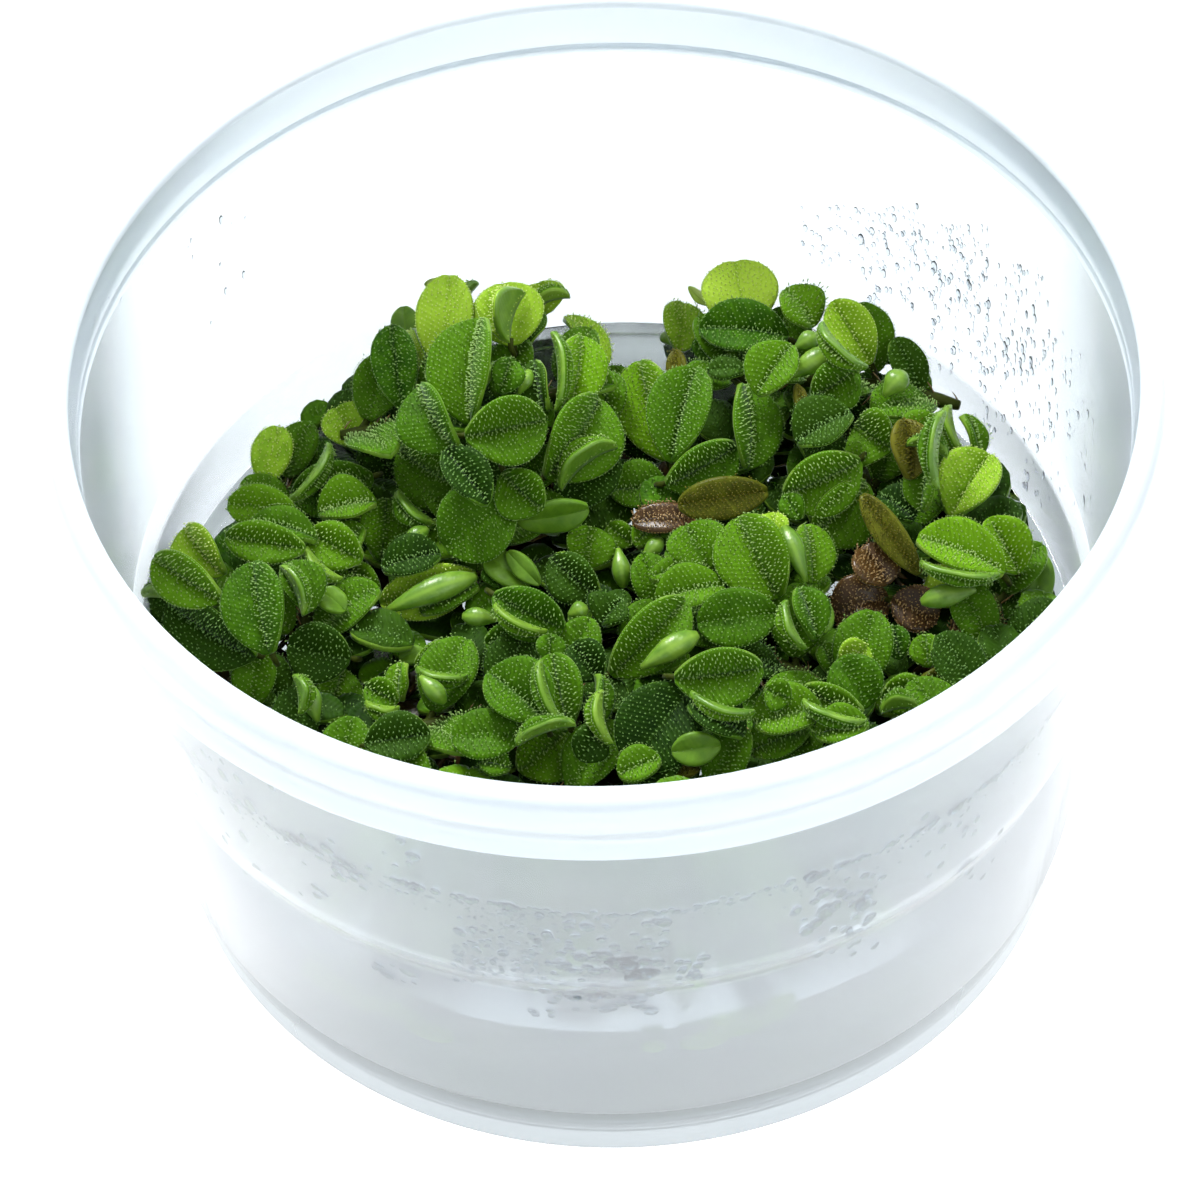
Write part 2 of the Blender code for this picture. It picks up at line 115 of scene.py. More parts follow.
def add_node(tree, kind, inputs=None, **settings):
    """Add a node. inputs gives each socket a value, or the output that it is linked to."""
    node = tree.nodes.new(kind)
    for name, value in settings.items():
        setattr(node, name, value)
    for name, value in (inputs or {}).items():
        if isinstance(value, bpy.types.NodeSocket):
            tree.links.new(value, node.inputs[name])
        else:
            node.inputs[name].default_value = value
    return node


def new_material(name, **values):
    """A Principled material with values set on the shader itself. Returns it, its tree and the
    shader."""
    made = bpy.data.materials.new(name)
    made.use_nodes = True
    shader = made.node_tree.nodes["Principled BSDF"]
    for socket, value in values.items():
        shader.inputs[socket.replace("_", " ")].default_value = value
    return made, made.node_tree, shader


def deselect():
    """Nothing selected and object mode, as an operator expects to find it."""
    if bpy.context.object and bpy.context.object.mode != "OBJECT":
        bpy.ops.object.mode_set(mode="OBJECT")
    bpy.ops.object.select_all(action="DESELECT")


def dress(piece, slot, materials, *nodes):
    """Let a finished piece ride, take its materials and stand for its solids."""
    for made in materials:
        piece.data.materials.append(made)
    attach(piece, "root")
    if nodes:
        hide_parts(*nodes)
    print(piece.name, len(piece.data.polygons), "faces")


# %% [markdown]
# ## The cup
# The cup is injection moulded from polypropylene, about a millimetre thick. It is turned work as
# far as shape goes, so it starts as a circle, and each new ring is extruded and scaled: down the
# underside, up the outside, over the hooked rim and down the inside, as a potter would draw it.
# Extruding ring by ring keeps the wall one closed skin, which a see-through material needs.

# %% Extrude the cup ring by ring
CUP_SEGMENTS = 160
SMOOTH_ANGLE = math.radians(35)
POLE = 10.0 * MM  # radius of the ring about the middle of a face
CORNER = 3.0 * MM  # how round the wall meets the floor inside
WALL = 1.0 * MM
FLOOR = 3.0 * MM
FOOT_RADIUS = 45.1 * MM
STEP = (46.5 * MM, 8.5 * MM)  # radius and height, as of the two shoulders
SHOULDER_LOW = (47.35 * MM, 29.0 * MM)
SHOULDER_HIGH = (48.2 * MM, 31.5 * MM)
RIM_BOTTOM = 56.1 * MM
RIM_RADIUS = 53.0 * MM
CUP_HEIGHT = 63.7 * MM
MOUTH_RADIUS = 50.0 * MM


def arc(centre, radius, start, end, count):
    """Points of an arc about (radius, height) centre, between two angles in degrees."""
    angles = [math.radians(start + (end - start) * i / (count - 1)) for i in range(count)]
    return [(centre[0] + radius * math.cos(a), centre[1] + radius * math.sin(a)) for a in angles]


def turn_rings(name, profile, segments):
    """Draw a closed skin from the pole of its underside to the pole of its top, ring by ring."""
    deselect()
    start_radius, start_height = profile[0]
    bpy.ops.mesh.primitive_circle_add(vertices=segments, radius=start_radius,
                                      location=(0, 0, start_height), fill_type="NGON")
    piece = bpy.context.object
    piece.name = name
    bpy.ops.object.mode_set(mode="EDIT")
    bpy.ops.mesh.select_mode(type="EDGE")
    bpy.ops.mesh.select_all(action="SELECT")
    bpy.ops.mesh.flip_normals()
    bpy.ops.mesh.region_to_loop()
    for (radius, height), (wider, higher) in zip(profile, profile[1:]):
        bpy.ops.mesh.extrude_edges_move(TRANSFORM_OT_translate={"value": (0, 0, higher - height)})
        scale = wider / radius
        bpy.ops.transform.resize(value=(scale, scale, 1.0), center_override=(0, 0, higher))
    bpy.ops.mesh.edge_face_add()
    bpy.ops.mesh.select_all(action="SELECT")
    bpy.ops.mesh.normals_make_consistent(inside=False)
    bpy.ops.object.mode_set(mode="OBJECT")
    bpy.ops.object.transform_apply(location=True, rotation=True, scale=True)
    bpy.ops.object.shade_smooth_by_angle(angle=SMOOTH_ANGLE)
    return piece


inside_step = STEP[0] - WALL
cup_profile = [
    (POLE, 2.0 * MM), (FOOT_RADIUS - 3.2 * MM, 1.9 * MM),
    *arc((FOOT_RADIUS - 1.0 * MM, 0.5 * MM), 0.5 * MM, 250, 330, 4),
    (FOOT_RADIUS - 0.1 * MM, 0.6 * MM),
    (STEP[0] - 0.7 * MM, STEP[1] - 0.5 * MM), (STEP[0] - 0.15 * MM, STEP[1] - 0.25 * MM),
    (STEP[0], STEP[1] + 0.3 * MM),
    (SHOULDER_LOW[0] - 0.03 * MM, SHOULDER_LOW[1] - 0.6 * MM), SHOULDER_LOW,
    (SHOULDER_HIGH[0] - 0.15 * MM, SHOULDER_HIGH[1] - 0.6 * MM), SHOULDER_HIGH,
    (50.1 * MM, RIM_BOTTOM + 0.9 * MM),
    *arc((50.9 * MM, RIM_BOTTOM + 0.9 * MM), 0.7 * MM, 170, 20, 5),
    (RIM_RADIUS - 1.1 * MM, RIM_BOTTOM + 0.3 * MM),
    *arc((RIM_RADIUS - 0.5 * MM, RIM_BOTTOM + 0.45 * MM), 0.45 * MM, 200, 360, 6),
    (RIM_RADIUS - 0.12 * MM, RIM_BOTTOM + 2.2 * MM),
    (RIM_RADIUS - 0.35 * MM, CUP_HEIGHT - 2.2 * MM),
    *arc((RIM_RADIUS - 1.9 * MM, CUP_HEIGHT - 1.55 * MM), 1.5 * MM, 10, 90, 6),
    *arc((MOUTH_RADIUS + 0.8 * MM, CUP_HEIGHT - 0.85 * MM), 0.8 * MM, 90, 175, 6),
    (SHOULDER_HIGH[0] - WALL, SHOULDER_HIGH[1]),
    (SHOULDER_LOW[0] - WALL, SHOULDER_LOW[1]),
    (inside_step, 7.5 * MM),
    *arc((inside_step - CORNER, FLOOR + CORNER), CORNER, 0, -90, 6),
    (POLE, FLOOR),
]
cup = turn_rings("culture_cup", cup_profile, CUP_SEGMENTS)
print("cup", len(cup.data.vertices), "points, height in mm", cup.dimensions.z / MM)

# %% [markdown]
# ## Frosted polypropylene
# Polypropylene is part crystal, so even clear grades look milky: they let light through but
# scatter it. On the shader that is a pale body that is mostly transmission. The outside took the
# polish of its mould and is fairly smooth. The inside is fogged by breath-fine water, so it is
# rough: what touches the wall shows through it, and what stands back melts into grey. Fog is
# uneven, which a noise with spots of about 12 mm gives to the roughness. The hooked rim is several
# walls thick, so less light gets through it and it is whiter. The foot is matt and painted grey as
# painted shade, the wall above it is a little scuffed up to the shoulder, and the inside there is
# wet and a little darker, partly as painted shade from the heap.

# %% The cup's materials
CLOUD_SIZE = 12.0 * MM
PLASTICS = {  # least and most roughness, the share of light that passes, and the two tones
    "moulded": (0.09, 0.13, 0.80, "#ebf4fa", "#f4f9fd"),
    "fogged": (0.19, 0.26, 0.80, "#ebf4fa", "#f4f9fd"),
    "thick": (0.20, 0.26, 0.46, "#e8f2fa", "#f0f8fd"),
    # The foot's grey tones are painted shade. The wet inner wall below the shoulder is a little
    # darker, partly as painted shade.
    "foot": (0.19, 0.26, 0.60, "#c2cacd", "#ccd3d5"),
    "scuffed": (0.15, 0.22, 0.74, "#ecf4fa", "#f4f9fd"),
    "wet_and_shaded": (0.19, 0.26, 0.74, "#ebf2f8", "#f2f7fc"),
}


def polypropylene(name, clear, foggy, through, dull, pale):
    """A frosted plastic with the values of its row."""
    made, tree, shader = new_material(
        name + "_polypropylene", IOR=1.49, Transmission_Weight=through)
    place = add_node(tree, "ShaderNodeTexCoord")
    clouds = add_node(tree, "ShaderNodeTexNoise",
                      {"Vector": place.outputs["Object"], "Scale": 1 / CLOUD_SIZE, "Detail": 2.0})
    haze = add_node(tree, "ShaderNodeMapRange", {
        "Value": clouds.outputs["Fac"], "From Min": 0.3, "From Max": 0.7, "To Min": clear,
        "To Max": foggy})
    body = add_node(tree, "ShaderNodeMix", {
        "Factor": clouds.outputs["Fac"], "A": linear(dull), "B": linear(pale)},
        data_type="RGBA")
    tree.links.new(haze.outputs["Result"], shader.inputs["Roughness"])
    tree.links.new(body.outputs["Result"], shader.inputs["Base Color"])
    return made


def plastic_at(middle, normal):
    """Which plastic a face of the cup is, by its middle and its normal."""
    facing = normal.dot(Vector((middle.x, middle.y, 0)).normalized())
    if middle.z > RIM_BOTTOM - 0.2 * MM:
        return "thick"
    if facing < -0.5 and middle.z > FLOOR:
        return "wet_and_shaded" if middle.z < SHOULDER_HIGH[1] else "fogged"
    if facing > 0.5 and middle.z < SHOULDER_LOW[1]:
        return "foot" if middle.z < STEP[1] else "scuffed"
    return "moulded"


dress(cup, "cup_plastic",
      [polypropylene(name, *values) for name, values in PLASTICS.items()], "cup")
plastics = list(PLASTICS)
for face in cup.data.polygons:
    face.material_index = plastics.index(plastic_at(face.center, face.normal))
print("the cup's plastics:", ", ".join(plastics))

# %% [markdown]
# ## The water
# Water wets the wall, so its surface climbs over the last three millimetres as a meniscus. It is
# turned the same way as the cup, a hair inside it, and its finish is plain: transmission, the
# index of water and next to no roughness.

# %% Turn and finish the water
WATER_LEVEL = 21.0 * MM
WATER_EDGE = 46.0 * MM
WATER_INDEX = 1.333
AIR = 0.3 * MM  # between the water and the cup below it
MENISCUS = ((0.06, 0.9), (0.25, 0.85), (0.8, 0.35), (1.7, 0.08), (3.0, 0.0))  # mm in and up
water_profile = [
    (POLE, FLOOR + AIR),
    *arc((inside_step - CORNER - AIR, FLOOR + CORNER + AIR), CORNER, -90, 0, 5),
    *[(WATER_EDGE - inwards * MM, WATER_LEVEL + up * MM) for inwards, up in MENISCUS],
    (POLE, WATER_LEVEL),
]
water = turn_rings("still_water", water_profile, CUP_SEGMENTS)
clear_water = new_material("clear_water", Roughness=0.02, IOR=WATER_INDEX,
                           Transmission_Weight=1.0, Base_Color=linear("#fafdfb"))[0]
dress(water, "water", [clear_water], "water")

# %% [markdown]
# ## The floor and the light
# The photograph is high key: the cup stands on a lit white table, the wall behind is white, and
# soft light comes from all round with a brighter side above and behind. A white world, a floor
# that glows and three soft lamps give that. The glow from below also makes the lower wall of the
# cup as pale as it is in the photograph. Light goes through many skins of plastic, so it may pass
# ten of them. A light tree would save nothing with so few lamps, so it is off.

# %% Stage
ROOM_WHITE = "#fbfdff"
HEAP_MIDDLE = (0, 0, 0.03)  # where the lamps look, in metres
scene = bpy.context.scene
scene.view_settings.view_transform = "Standard"
deselect()
bpy.ops.mesh.primitive_plane_add(size=4.0, location=(0, 0, -0.05 * MM))
floor = bpy.context.object
floor.name = "floor"
light_table = new_material("light_table", Roughness=0.9, Base_Color=linear("#c4c4c4"),
                           Emission_Color=linear(ROOM_WHITE), Emission_Strength=0.97)[0]
floor.data.materials.append(light_table)
scene.cycles.use_light_tree = False
scene.cycles.max_bounces = 10
scene.cycles.diffuse_bounces = 3
scene.cycles.glossy_bounces = 3
scene.cycles.transmission_bounces = 10
world = bpy.data.worlds.new("white_room")
scene.world = world
world.use_nodes = True
background = world.node_tree.nodes["Background"]
background.inputs["Color"].default_value = linear(ROOM_WHITE)
background.inputs["Strength"].default_value = 0.75


def soft_box(name, place, size, power):
    """Hang a square lamp that looks at the heap."""
    lamp = bpy.data.lights.new(name, "AREA")
    lamp.shape = "SQUARE"
    lamp.size = size
    lamp.energy = power
    made = bpy.data.objects.new(name, lamp)
    scene.collection.objects.link(made)
    made.location = place
    aim = Vector(HEAP_MIDDLE) - Vector(place)
    made.rotation_euler = aim.to_track_quat("-Z", "Y").to_euler()


soft_box("key_light", (-0.20, 0.45, 0.75), 0.25, 11.0)
soft_box("fill_light", (0.5, -0.5, 0.6), 0.5, 2.0)
soft_box("window_light", (0.30, 0.25, 0.80), 0.07, 1.5)
print("lamps:", ", ".join(sorted(lamp.name for lamp in bpy.data.lights)))

# %% [markdown]
# ## A leaf, flat
# A salvinia leaf is an oval of 6 to 10 mm, two halves on a grooved midrib, with a soft rolled
# edge. One flat blank serves all of them. It starts as a grid one unit wide and long. Each row of
# points is scaled to the oval's width and moved so that rows crowd at the ends, where the outline
# turns fastest. Solidify gives it a thickness, and one level of subdivision rounds the edge of the
# two finer blanks, for leaves that are seen well.

# %% Model the blank
EVEN_THICKNESS = 0.1  # of the blank, before it becomes millimetres
WIDEST = 1.1  # above one, the oval is widest past its middle
BLUNT = 0.42  # the lower, the blunter its ends
LEAST_HALF = 0.11  # half the width at which the ends are cut off


def oval(share):
    """Half of a leaf's width at a share of its length, one unit being the whole width."""
    return max(0.5 * max(math.sin(math.pi * share ** WIDEST), 0.0) ** BLUNT, LEAST_HALF)


Blank = namedtuple("Blank", "points quads upper")


def leaf_blank(columns, rows, level):
    """Model a flat leaf and keep its points, its faces and which of them look up."""
    deselect()
    bpy.ops.mesh.primitive_grid_add(x_subdivisions=columns, y_subdivisions=rows, size=1.0,
                                    location=(0, 0.5, 0))
    piece = bpy.context.object
    bpy.ops.object.transform_apply(location=True, rotation=True, scale=True)
    for row in range(rows + 1):
        share = row / rows
        placed = (1 - math.cos(math.pi * share)) / 2
        bpy.ops.object.mode_set(mode="EDIT")
        bpy.ops.mesh.select_mode(type="VERT")
        bpy.ops.mesh.select_all(action="DESELECT")
        bpy.ops.object.mode_set(mode="OBJECT")
        for i in range(row * (columns + 1), (row + 1) * (columns + 1)):
            piece.data.vertices[i].select = True
        bpy.ops.object.mode_set(mode="EDIT")
        bpy.ops.transform.resize(value=(2 * oval(placed), 1, 1), center_override=(0, share, 0))
        bpy.ops.transform.translate(value=(0, placed - share, 0))
    bpy.ops.object.mode_set(mode="OBJECT")
    thick = piece.modifiers.new("thickness", "SOLIDIFY")
    thick.thickness, thick.offset = EVEN_THICKNESS, 0.0
    bpy.ops.object.modifier_apply(modifier=thick.name)
    if level:
        soft = piece.modifiers.new("soft edge", "SUBSURF")
        soft.levels = soft.render_levels = level
        bpy.ops.object.modifier_apply(modifier=soft.name)
    mesh = piece.data
    points = np.array([vertex.co for vertex in mesh.vertices])
    points[:, 2] /= EVEN_THICKNESS
    quads = np.array([tuple(face.vertices) for face in mesh.polygons])
    upper = np.array([face.normal.z > 0.3 for face in mesh.polygons])
    bpy.data.objects.remove(piece)
    print("blank", columns, "x", rows, "has", len(quads), "faces,", upper.sum(), "of them up")
    return Blank(points, quads, upper)


fine_blank = leaf_blank(8, 12, 1)  # for the large leaves
small_blank = leaf_blank(6, 8, 1)  # for the small ones
low_blank = leaf_blank(4, 7, 0)  # for those under the others
coarse_blank = leaf_blank(4, 5, 0)  # to test where leaves touch

# %% [markdown]
# ## A leaf, bent
# Each half swells like a cushion: it climbs steeply beside the groove of the midrib, levels out
# and rolls down at the edge. So the slope across a half is a straight line from steep to flat,
# and its running sum gives the section. Along its length the leaf is arched, with a slight wave.

# %% Bend a leaf
THICKNESS = 0.7  # mm
SECTION = np.linspace(0.0, 1.0, 17)  # from the midrib to the edge
WAVES = 7.0  # radians of the edge's wave along a leaf
ON_MIDRIB = 0.02  # nearer than this share, the face looks straight up
Form = namedtuple("Form", "length width fold swell arch wave phase")


def bend_leaf(form, flat):
    """Carry flat points (shares across and along, and mm off the leaf) onto the bent leaf. Gives
    points and directions off the leaf, in mm."""
    slopes = np.radians(form.fold + form.swell * (1 - 2 * SECTION))
    gaps = np.diff(SECTION)
    run = np.concatenate([[0], np.cumsum(gaps * (np.cos(slopes[1:]) + np.cos(slopes[:-1])) / 2)])
    rise = np.concatenate([[0], np.cumsum(gaps * (np.sin(slopes[1:]) + np.sin(slopes[:-1])) / 2)])
    across, share, off = flat[:, 0], flat[:, 1], flat[:, 2]
    reach = np.abs(across) * 2
    hand = np.sign(across)
    half = form.width / 2
    wave = form.wave * np.sin(form.phase + hand + WAVES * share) * reach ** 2
    bow = form.arch * (1 - (2 * share - 1) ** 2)
    place = np.stack([hand * np.interp(reach, SECTION, run) * half, share * form.length,
                      np.interp(reach, SECTION, rise) * half + bow + wave], axis=1)
    slope = np.interp(reach, SECTION, slopes)
    climb = form.arch * -4 * (2 * share - 1) / form.length
    normal = np.stack([-hand * np.sin(slope), -climb * np.cos(slope), np.cos(slope)], axis=1)
    normal[reach < ON_MIDRIB] = (0, 0, 1)
    normal /= np.linalg.norm(normal, axis=1)[:, None]
    return place + normal * off[:, None], normal


print("a half of a leaf bends at", len(SECTION), "places from midrib to edge")

# %% [markdown]
# ## The papillae
# What makes salvinia look like velvet is its papillae: stiff white-tipped hairs half a millimetre
# tall, in rows that run from the midrib out to the edge at about 65 degrees. They stay dry under
# water. Seen from above they are pale dots, and at a low angle they close up into grey combs. Each
# widens towards its tip, where it branches. So one is a three-sided cone that stands on its point,
# and its broad top is poked up into a low peak. It is a unit tall and its width is in mm.

# %% Model one papilla
PAPILLA_RADIUS = 0.092  # mm, at its broad top
PAPILLA_RIM = 0.85  # where the top's rim is, as a share of the height
PAPILLA_PEAK = 0.15  # how far the top stands up above its rim, the same
deselect()
bpy.ops.mesh.primitive_cone_add(vertices=3, radius1=0.0, radius2=PAPILLA_RADIUS,
                                depth=PAPILLA_RIM, location=(0, 0, PAPILLA_RIM / 2))
papilla = bpy.context.object
bpy.ops.object.transform_apply(location=True, rotation=True, scale=True)
bpy.ops.object.mode_set(mode="EDIT")
bpy.ops.mesh.select_mode(type="FACE")
bpy.ops.mesh.select_all(action="DESELECT")
bpy.ops.object.mode_set(mode="OBJECT")
for face in papilla.data.polygons:
    face.select = face.normal.z > 0.9
bpy.ops.object.mode_set(mode="EDIT")
bpy.ops.mesh.poke(offset=PAPILLA_PEAK)
bpy.ops.object.mode_set(mode="OBJECT")
papilla_points = np.array([vertex.co for vertex in papilla.data.vertices])
papilla_quads = np.array([(*face.vertices, face.vertices[2]) for face in papilla.data.polygons])
bpy.data.objects.remove(papilla)
# Only the rim of the top is pale. The foot and the peak get the painted green light and shade of
# the leaf below.
at_rim = np.abs(papilla_points[:, 2] - PAPILLA_RIM) < 0.05
papilla_pale = np.where(at_rim, 1.0, 0.0)
print("a papilla has", len(papilla_quads), "faces,", at_rim.sum(), "of its points are pale")

# %% [markdown]
# ## Rows of papillae
# The rows start at the midrib, one beside the other, and lean towards the tip of the leaf. A
# fringe stands out round the edge. Each papilla is shaken a little off its row and leans its own
# way, as grown things do, and the seed of the leaf makes that the same each time.

# %% Stamp the papillae
PAPILLA_GAP = 0.48  # mm between rows
ALONG_GAP = 0.44  # mm between the papillae of a row
PAPILLA_HEIGHT = 0.58  # mm
FRINGE_GAP = 0.30  # mm between the papillae that stand out from the edge
ROW_LEAN = 0.47  # mm towards the tip for each mm out from the midrib
BARE_MIDRIB = 0.28  # mm beside the midrib without papillae
BARE_EDGE = 0.08  # mm within the edge without papillae
SHAKE = (0.12, 0.10)  # mm across and along
LEANING = 0.14  # how far a papilla may lean, for each of its height
ROOTED = 0.05  # mm that its foot stands in the leaf


def papilla_rows(form, random_numbers, kept):
    """Flat places of the papillae of one leaf, or a share of them: shares across and along."""
    first = -math.ceil(ROW_LEAN * form.width / 2 / PAPILLA_GAP)
    rows = np.arange(first, int(form.length / PAPILLA_GAP) + 1) * PAPILLA_GAP
    outs = np.arange(BARE_MIDRIB, form.width / 2, ALONG_GAP)
    found = []
    for start in rows:
        for out in outs:
            share = (start + out * ROW_LEAN) / form.length
            if 0.04 < share < 0.975 and out < oval(share) * form.width - BARE_EDGE:
                found += [(-out / form.width, share), (out / form.width, share)]
    found = np.array(found).reshape(-1, 2)
    found = found[random_numbers.uniform(size=len(found)) < kept]
    shake = random_numbers.uniform(-1, 1, found.shape) * SHAKE
    return found + shake / (form.width, form.length)


def fringe_places(form):
    """Flat places just inside the edge of one leaf, and further in beside them."""
    shares = np.arange(0.05, 0.985, FRINGE_GAP / form.length)
    edge = np.array([oval(share) for share in shares])
    on_edge = [np.column_stack([hand * (edge - 0.02), shares]) for hand in (-1, 1)]
    inside = [np.column_stack([hand * (edge - 0.12), shares - 0.04 * (shares - 0.4)])
              for hand in (-1, 1)]
    return np.concatenate(on_edge), np.concatenate(inside)


def across_and_along(normal):
    """Two directions at right angles to each of many directions."""
    helper = np.where(np.abs(normal[:, :1]) < 0.9, [[1.0, 0, 0]], [[0, 1.0, 0]])
    first = np.cross(normal, helper)
    first /= np.linalg.norm(first, axis=1)[:, None]
    return first, np.cross(normal, first)


def stamp_papillae(place, normal, random_numbers, tall):
    """Copies of the papilla, each leaning a little its own way. Gives points and faces in mm."""
    count = len(place)
    leaning = normal + random_numbers.normal(0, LEANING, normal.shape)
    leaning /= np.linalg.norm(leaning, axis=1)[:, None]
    first, second = across_and_along(leaning)
    height = (tall * random_numbers.uniform(0.8, 1.15, count))[:, None, None]
    local = papilla_points[None]
    points = (place[:, None] - normal[:, None] * ROOTED + first[:, None] * local[..., :1]
              + second[:, None] * local[..., 1:2] + leaning[:, None] * local[..., 2:] * height)
    faces = papilla_quads[None] + np.arange(count)[:, None, None] * len(papilla_points)
    return points.reshape(-1, 3), faces.reshape(-1, papilla_quads.shape[1])


example = papilla_rows(Form(8.0, 6.0, 0, 0, 0, 0, 0), np.random.default_rng(0), 1.0)
print("a leaf of 8 x 6 mm has", len(example), "papillae on its face")

# %% [markdown]
# ## Pieces from parts
# A plant is one piece but many leaves, so its parts are gathered in a list and joined at the end.
# Every point of a leaf keeps three numbers for its material: how far across and along the leaf it
# lies, in mm, and a tint from 0 to 1 that makes one leaf older than the next. On one large leaf the
# tint is set high as painted light, and on small undersides low as painted shade. A point of a
# papilla keeps how pale it is, a number of its own papilla, and how pale its leaf's papillae are.

# %% Gather and join
FINISHES = ("mid", "light", "dark", "olive", "brown", "under", "papilla", "stem", "root", "bud")
Part = namedtuple("Part", "points faces finish place")


class Piece:
    """Parts of one piece, gathered until they are joined into a mesh."""

    def __init__(self, name):
        self.name = name
        self.parts = []

    def add(self, points, faces, finish, place):
        """Points in metres. finish is an index for each face, and place three numbers a point.
        Faces that look inwards are turned round."""
        middle = points - points.mean(axis=0)
        a, b, c, d = (middle[faces[:, i]] for i in (0, 1, 2, 3))
        volume = (np.einsum("ij,ij", a, np.cross(b, c)) + np.einsum("ij,ij", a, np.cross(c, d)))
        self.parts.append(Part(points, faces if volume > 0 else faces[:, ::-1], finish, place))

    def join(self):
        """Make the object, its points joined. Gives it and the materials that it uses."""
        points = np.concatenate([part.points for part in self.parts])
        place = np.concatenate([part.place for part in self.parts])
        starts = np.cumsum([0] + [len(part.points) for part in self.parts])
        faces = [tuple(dict.fromkeys(row)) for part, start in zip(self.parts, starts)
                 for row in (part.faces + start).tolist()]
        finish = np.concatenate([part.finish for part in self.parts])
        used = sorted(set(finish.tolist()))
        mesh = bpy.data.meshes.new(self.name)
        mesh.from_pydata(points, [], faces)
        mesh.attributes.new("leaf_place", "FLOAT_VECTOR", "POINT")
        mesh.attributes["leaf_place"].data.foreach_set("vector", place.ravel().astype(np.float32))
        mesh.polygons.foreach_set("material_index", [used.index(i) for i in finish.tolist()])
        mesh.polygons.foreach_set("use_smooth", [True] * len(faces))
        made = bpy.data.objects.new(self.name, mesh)
        scene.collection.objects.link(made)
        return made, [finishes[FINISHES[i]] for i in used]


print("a piece may have", len(FINISHES), "finishes")

# %% [markdown]
# ## A leaf with its hairs
# With the blank, the bend and the papillae ready, one function lays a whole leaf. Its sides have
# their own finish: the underside is smooth and paler. Papillae are low on young leaves, and stand
# closer on old and dead ones, which have shrunk between them.

# %% Add a leaf to a piece
UNDERSIDES = {"mid": "under", "dark": "under", "light": "bud", "wisp": "papilla"}
TALLER = {"light": 0.7, "olive": 0.9, "brown": 1.2}  # times the usual height
# Dark leaves, whose green is partly painted shade, get papillae that are hardly pale.
PALER = {"light": 1.0, "dark": 0.1, "brown": 1.0, "olive": 1.0}  # the others go by their tint
HAIRS = {"brown": "root", "olive": "olive"}  # papillae of their own finish
SECOND_SET = (0.20, 0.15)  # mm across and along to the closer set of old leaves
FRINGE_TALL = 0.17  # mm


def carried(matrix, points):
    """Points in mm, carried by a matrix into the world in metres."""
    turn = np.array(matrix.to_3x3())
    return points * MM @ turn.T + np.array(matrix.translation)


def add_leaf(piece, matrix, form, kind, tint, seed, blank, kept=1.0, below=None):
    """Add a leaf with a share of its papillae to a piece. below is the finish of its underside."""
    random_numbers = np.random.default_rng(seed)
    flat = blank.points * (1, 1, THICKNESS)
    points, _ = bend_leaf(form, flat)
    place = np.stack([flat[:, 0] * form.width, flat[:, 1] * form.length,
                      np.full(len(flat), tint)], axis=1)
    upper = FINISHES.index("papilla" if kind == "wisp" else kind)
    lower = FINISHES.index(below or UNDERSIDES.get(kind, kind))
    piece.add(carried(matrix, points), blank.quads, np.where(blank.upper, upper, lower), place)
    if kind in ("under", "wisp") or not kept:
        return
    spots = papilla_rows(form, random_numbers, kept)
    if kind in ("brown", "olive"):
        beside = (SECOND_SET[0] / form.width, SECOND_SET[1] / form.length)
        spots = np.concatenate([spots, spots + beside])
        spots = spots[np.abs(spots[:, 0]) < 0.46]
    on_top = np.column_stack([spots, np.full(len(spots), THICKNESS / 2)])
    where, normal = bend_leaf(form, on_top)
    tall = np.full(len(where), PAPILLA_HEIGHT * TALLER.get(kind, 1.0))
    if kept == 1.0 and kind != "olive":
        edge, inside = fringe_places(form)
        on_edge, off_edge = bend_leaf(form, np.column_stack([edge, np.full(len(edge), 0.2)]))
        within, _ = bend_leaf(form, np.column_stack([inside, np.full(len(edge), 0.2)]))
        outward = on_edge - within
        outward /= np.linalg.norm(outward, axis=1)[:, None]
        where = np.concatenate([where, on_edge])
        normal = np.concatenate([normal, outward * 0.85 + off_edge * 0.5])
        tall = np.concatenate([tall, np.full(len(on_edge), FRINGE_TALL)])
    if not len(where):
        return
    points, faces = stamp_papillae(where, normal, random_numbers, tall)
    paleness = PALER.get(kind, 0.15 + 0.3 * tint)
    up = np.tile(papilla_pale, len(where))
    each = np.column_stack([up, np.repeat(random_numbers.uniform(size=len(where)),
                                          len(papilla_points)), np.full(len(up), paleness)])
    hair = FINISHES.index(HAIRS.get(kind, "papilla"))
    piece.add(carried(matrix, points), faces, np.full(len(faces), hair), each)


print("kinds with hairs of another height:", ", ".join(TALLER))

# %% [markdown]
# ## Stems, root hairs and rolled leaves
# A stem, a rhizome or a root hair is a closed tube along a line of points. A leaf that is still
# rolled up is a flattened, bent tongue: rings of points along a bow, closed at both ends.

# %% Add a tube or a rolled leaf to a piece
POD_RINGS = 9
POD_SIDES = 10
POD_FLAT = 0.6  # how thick it is for its width
POD_BOW = 0.12  # how far it bends for its length


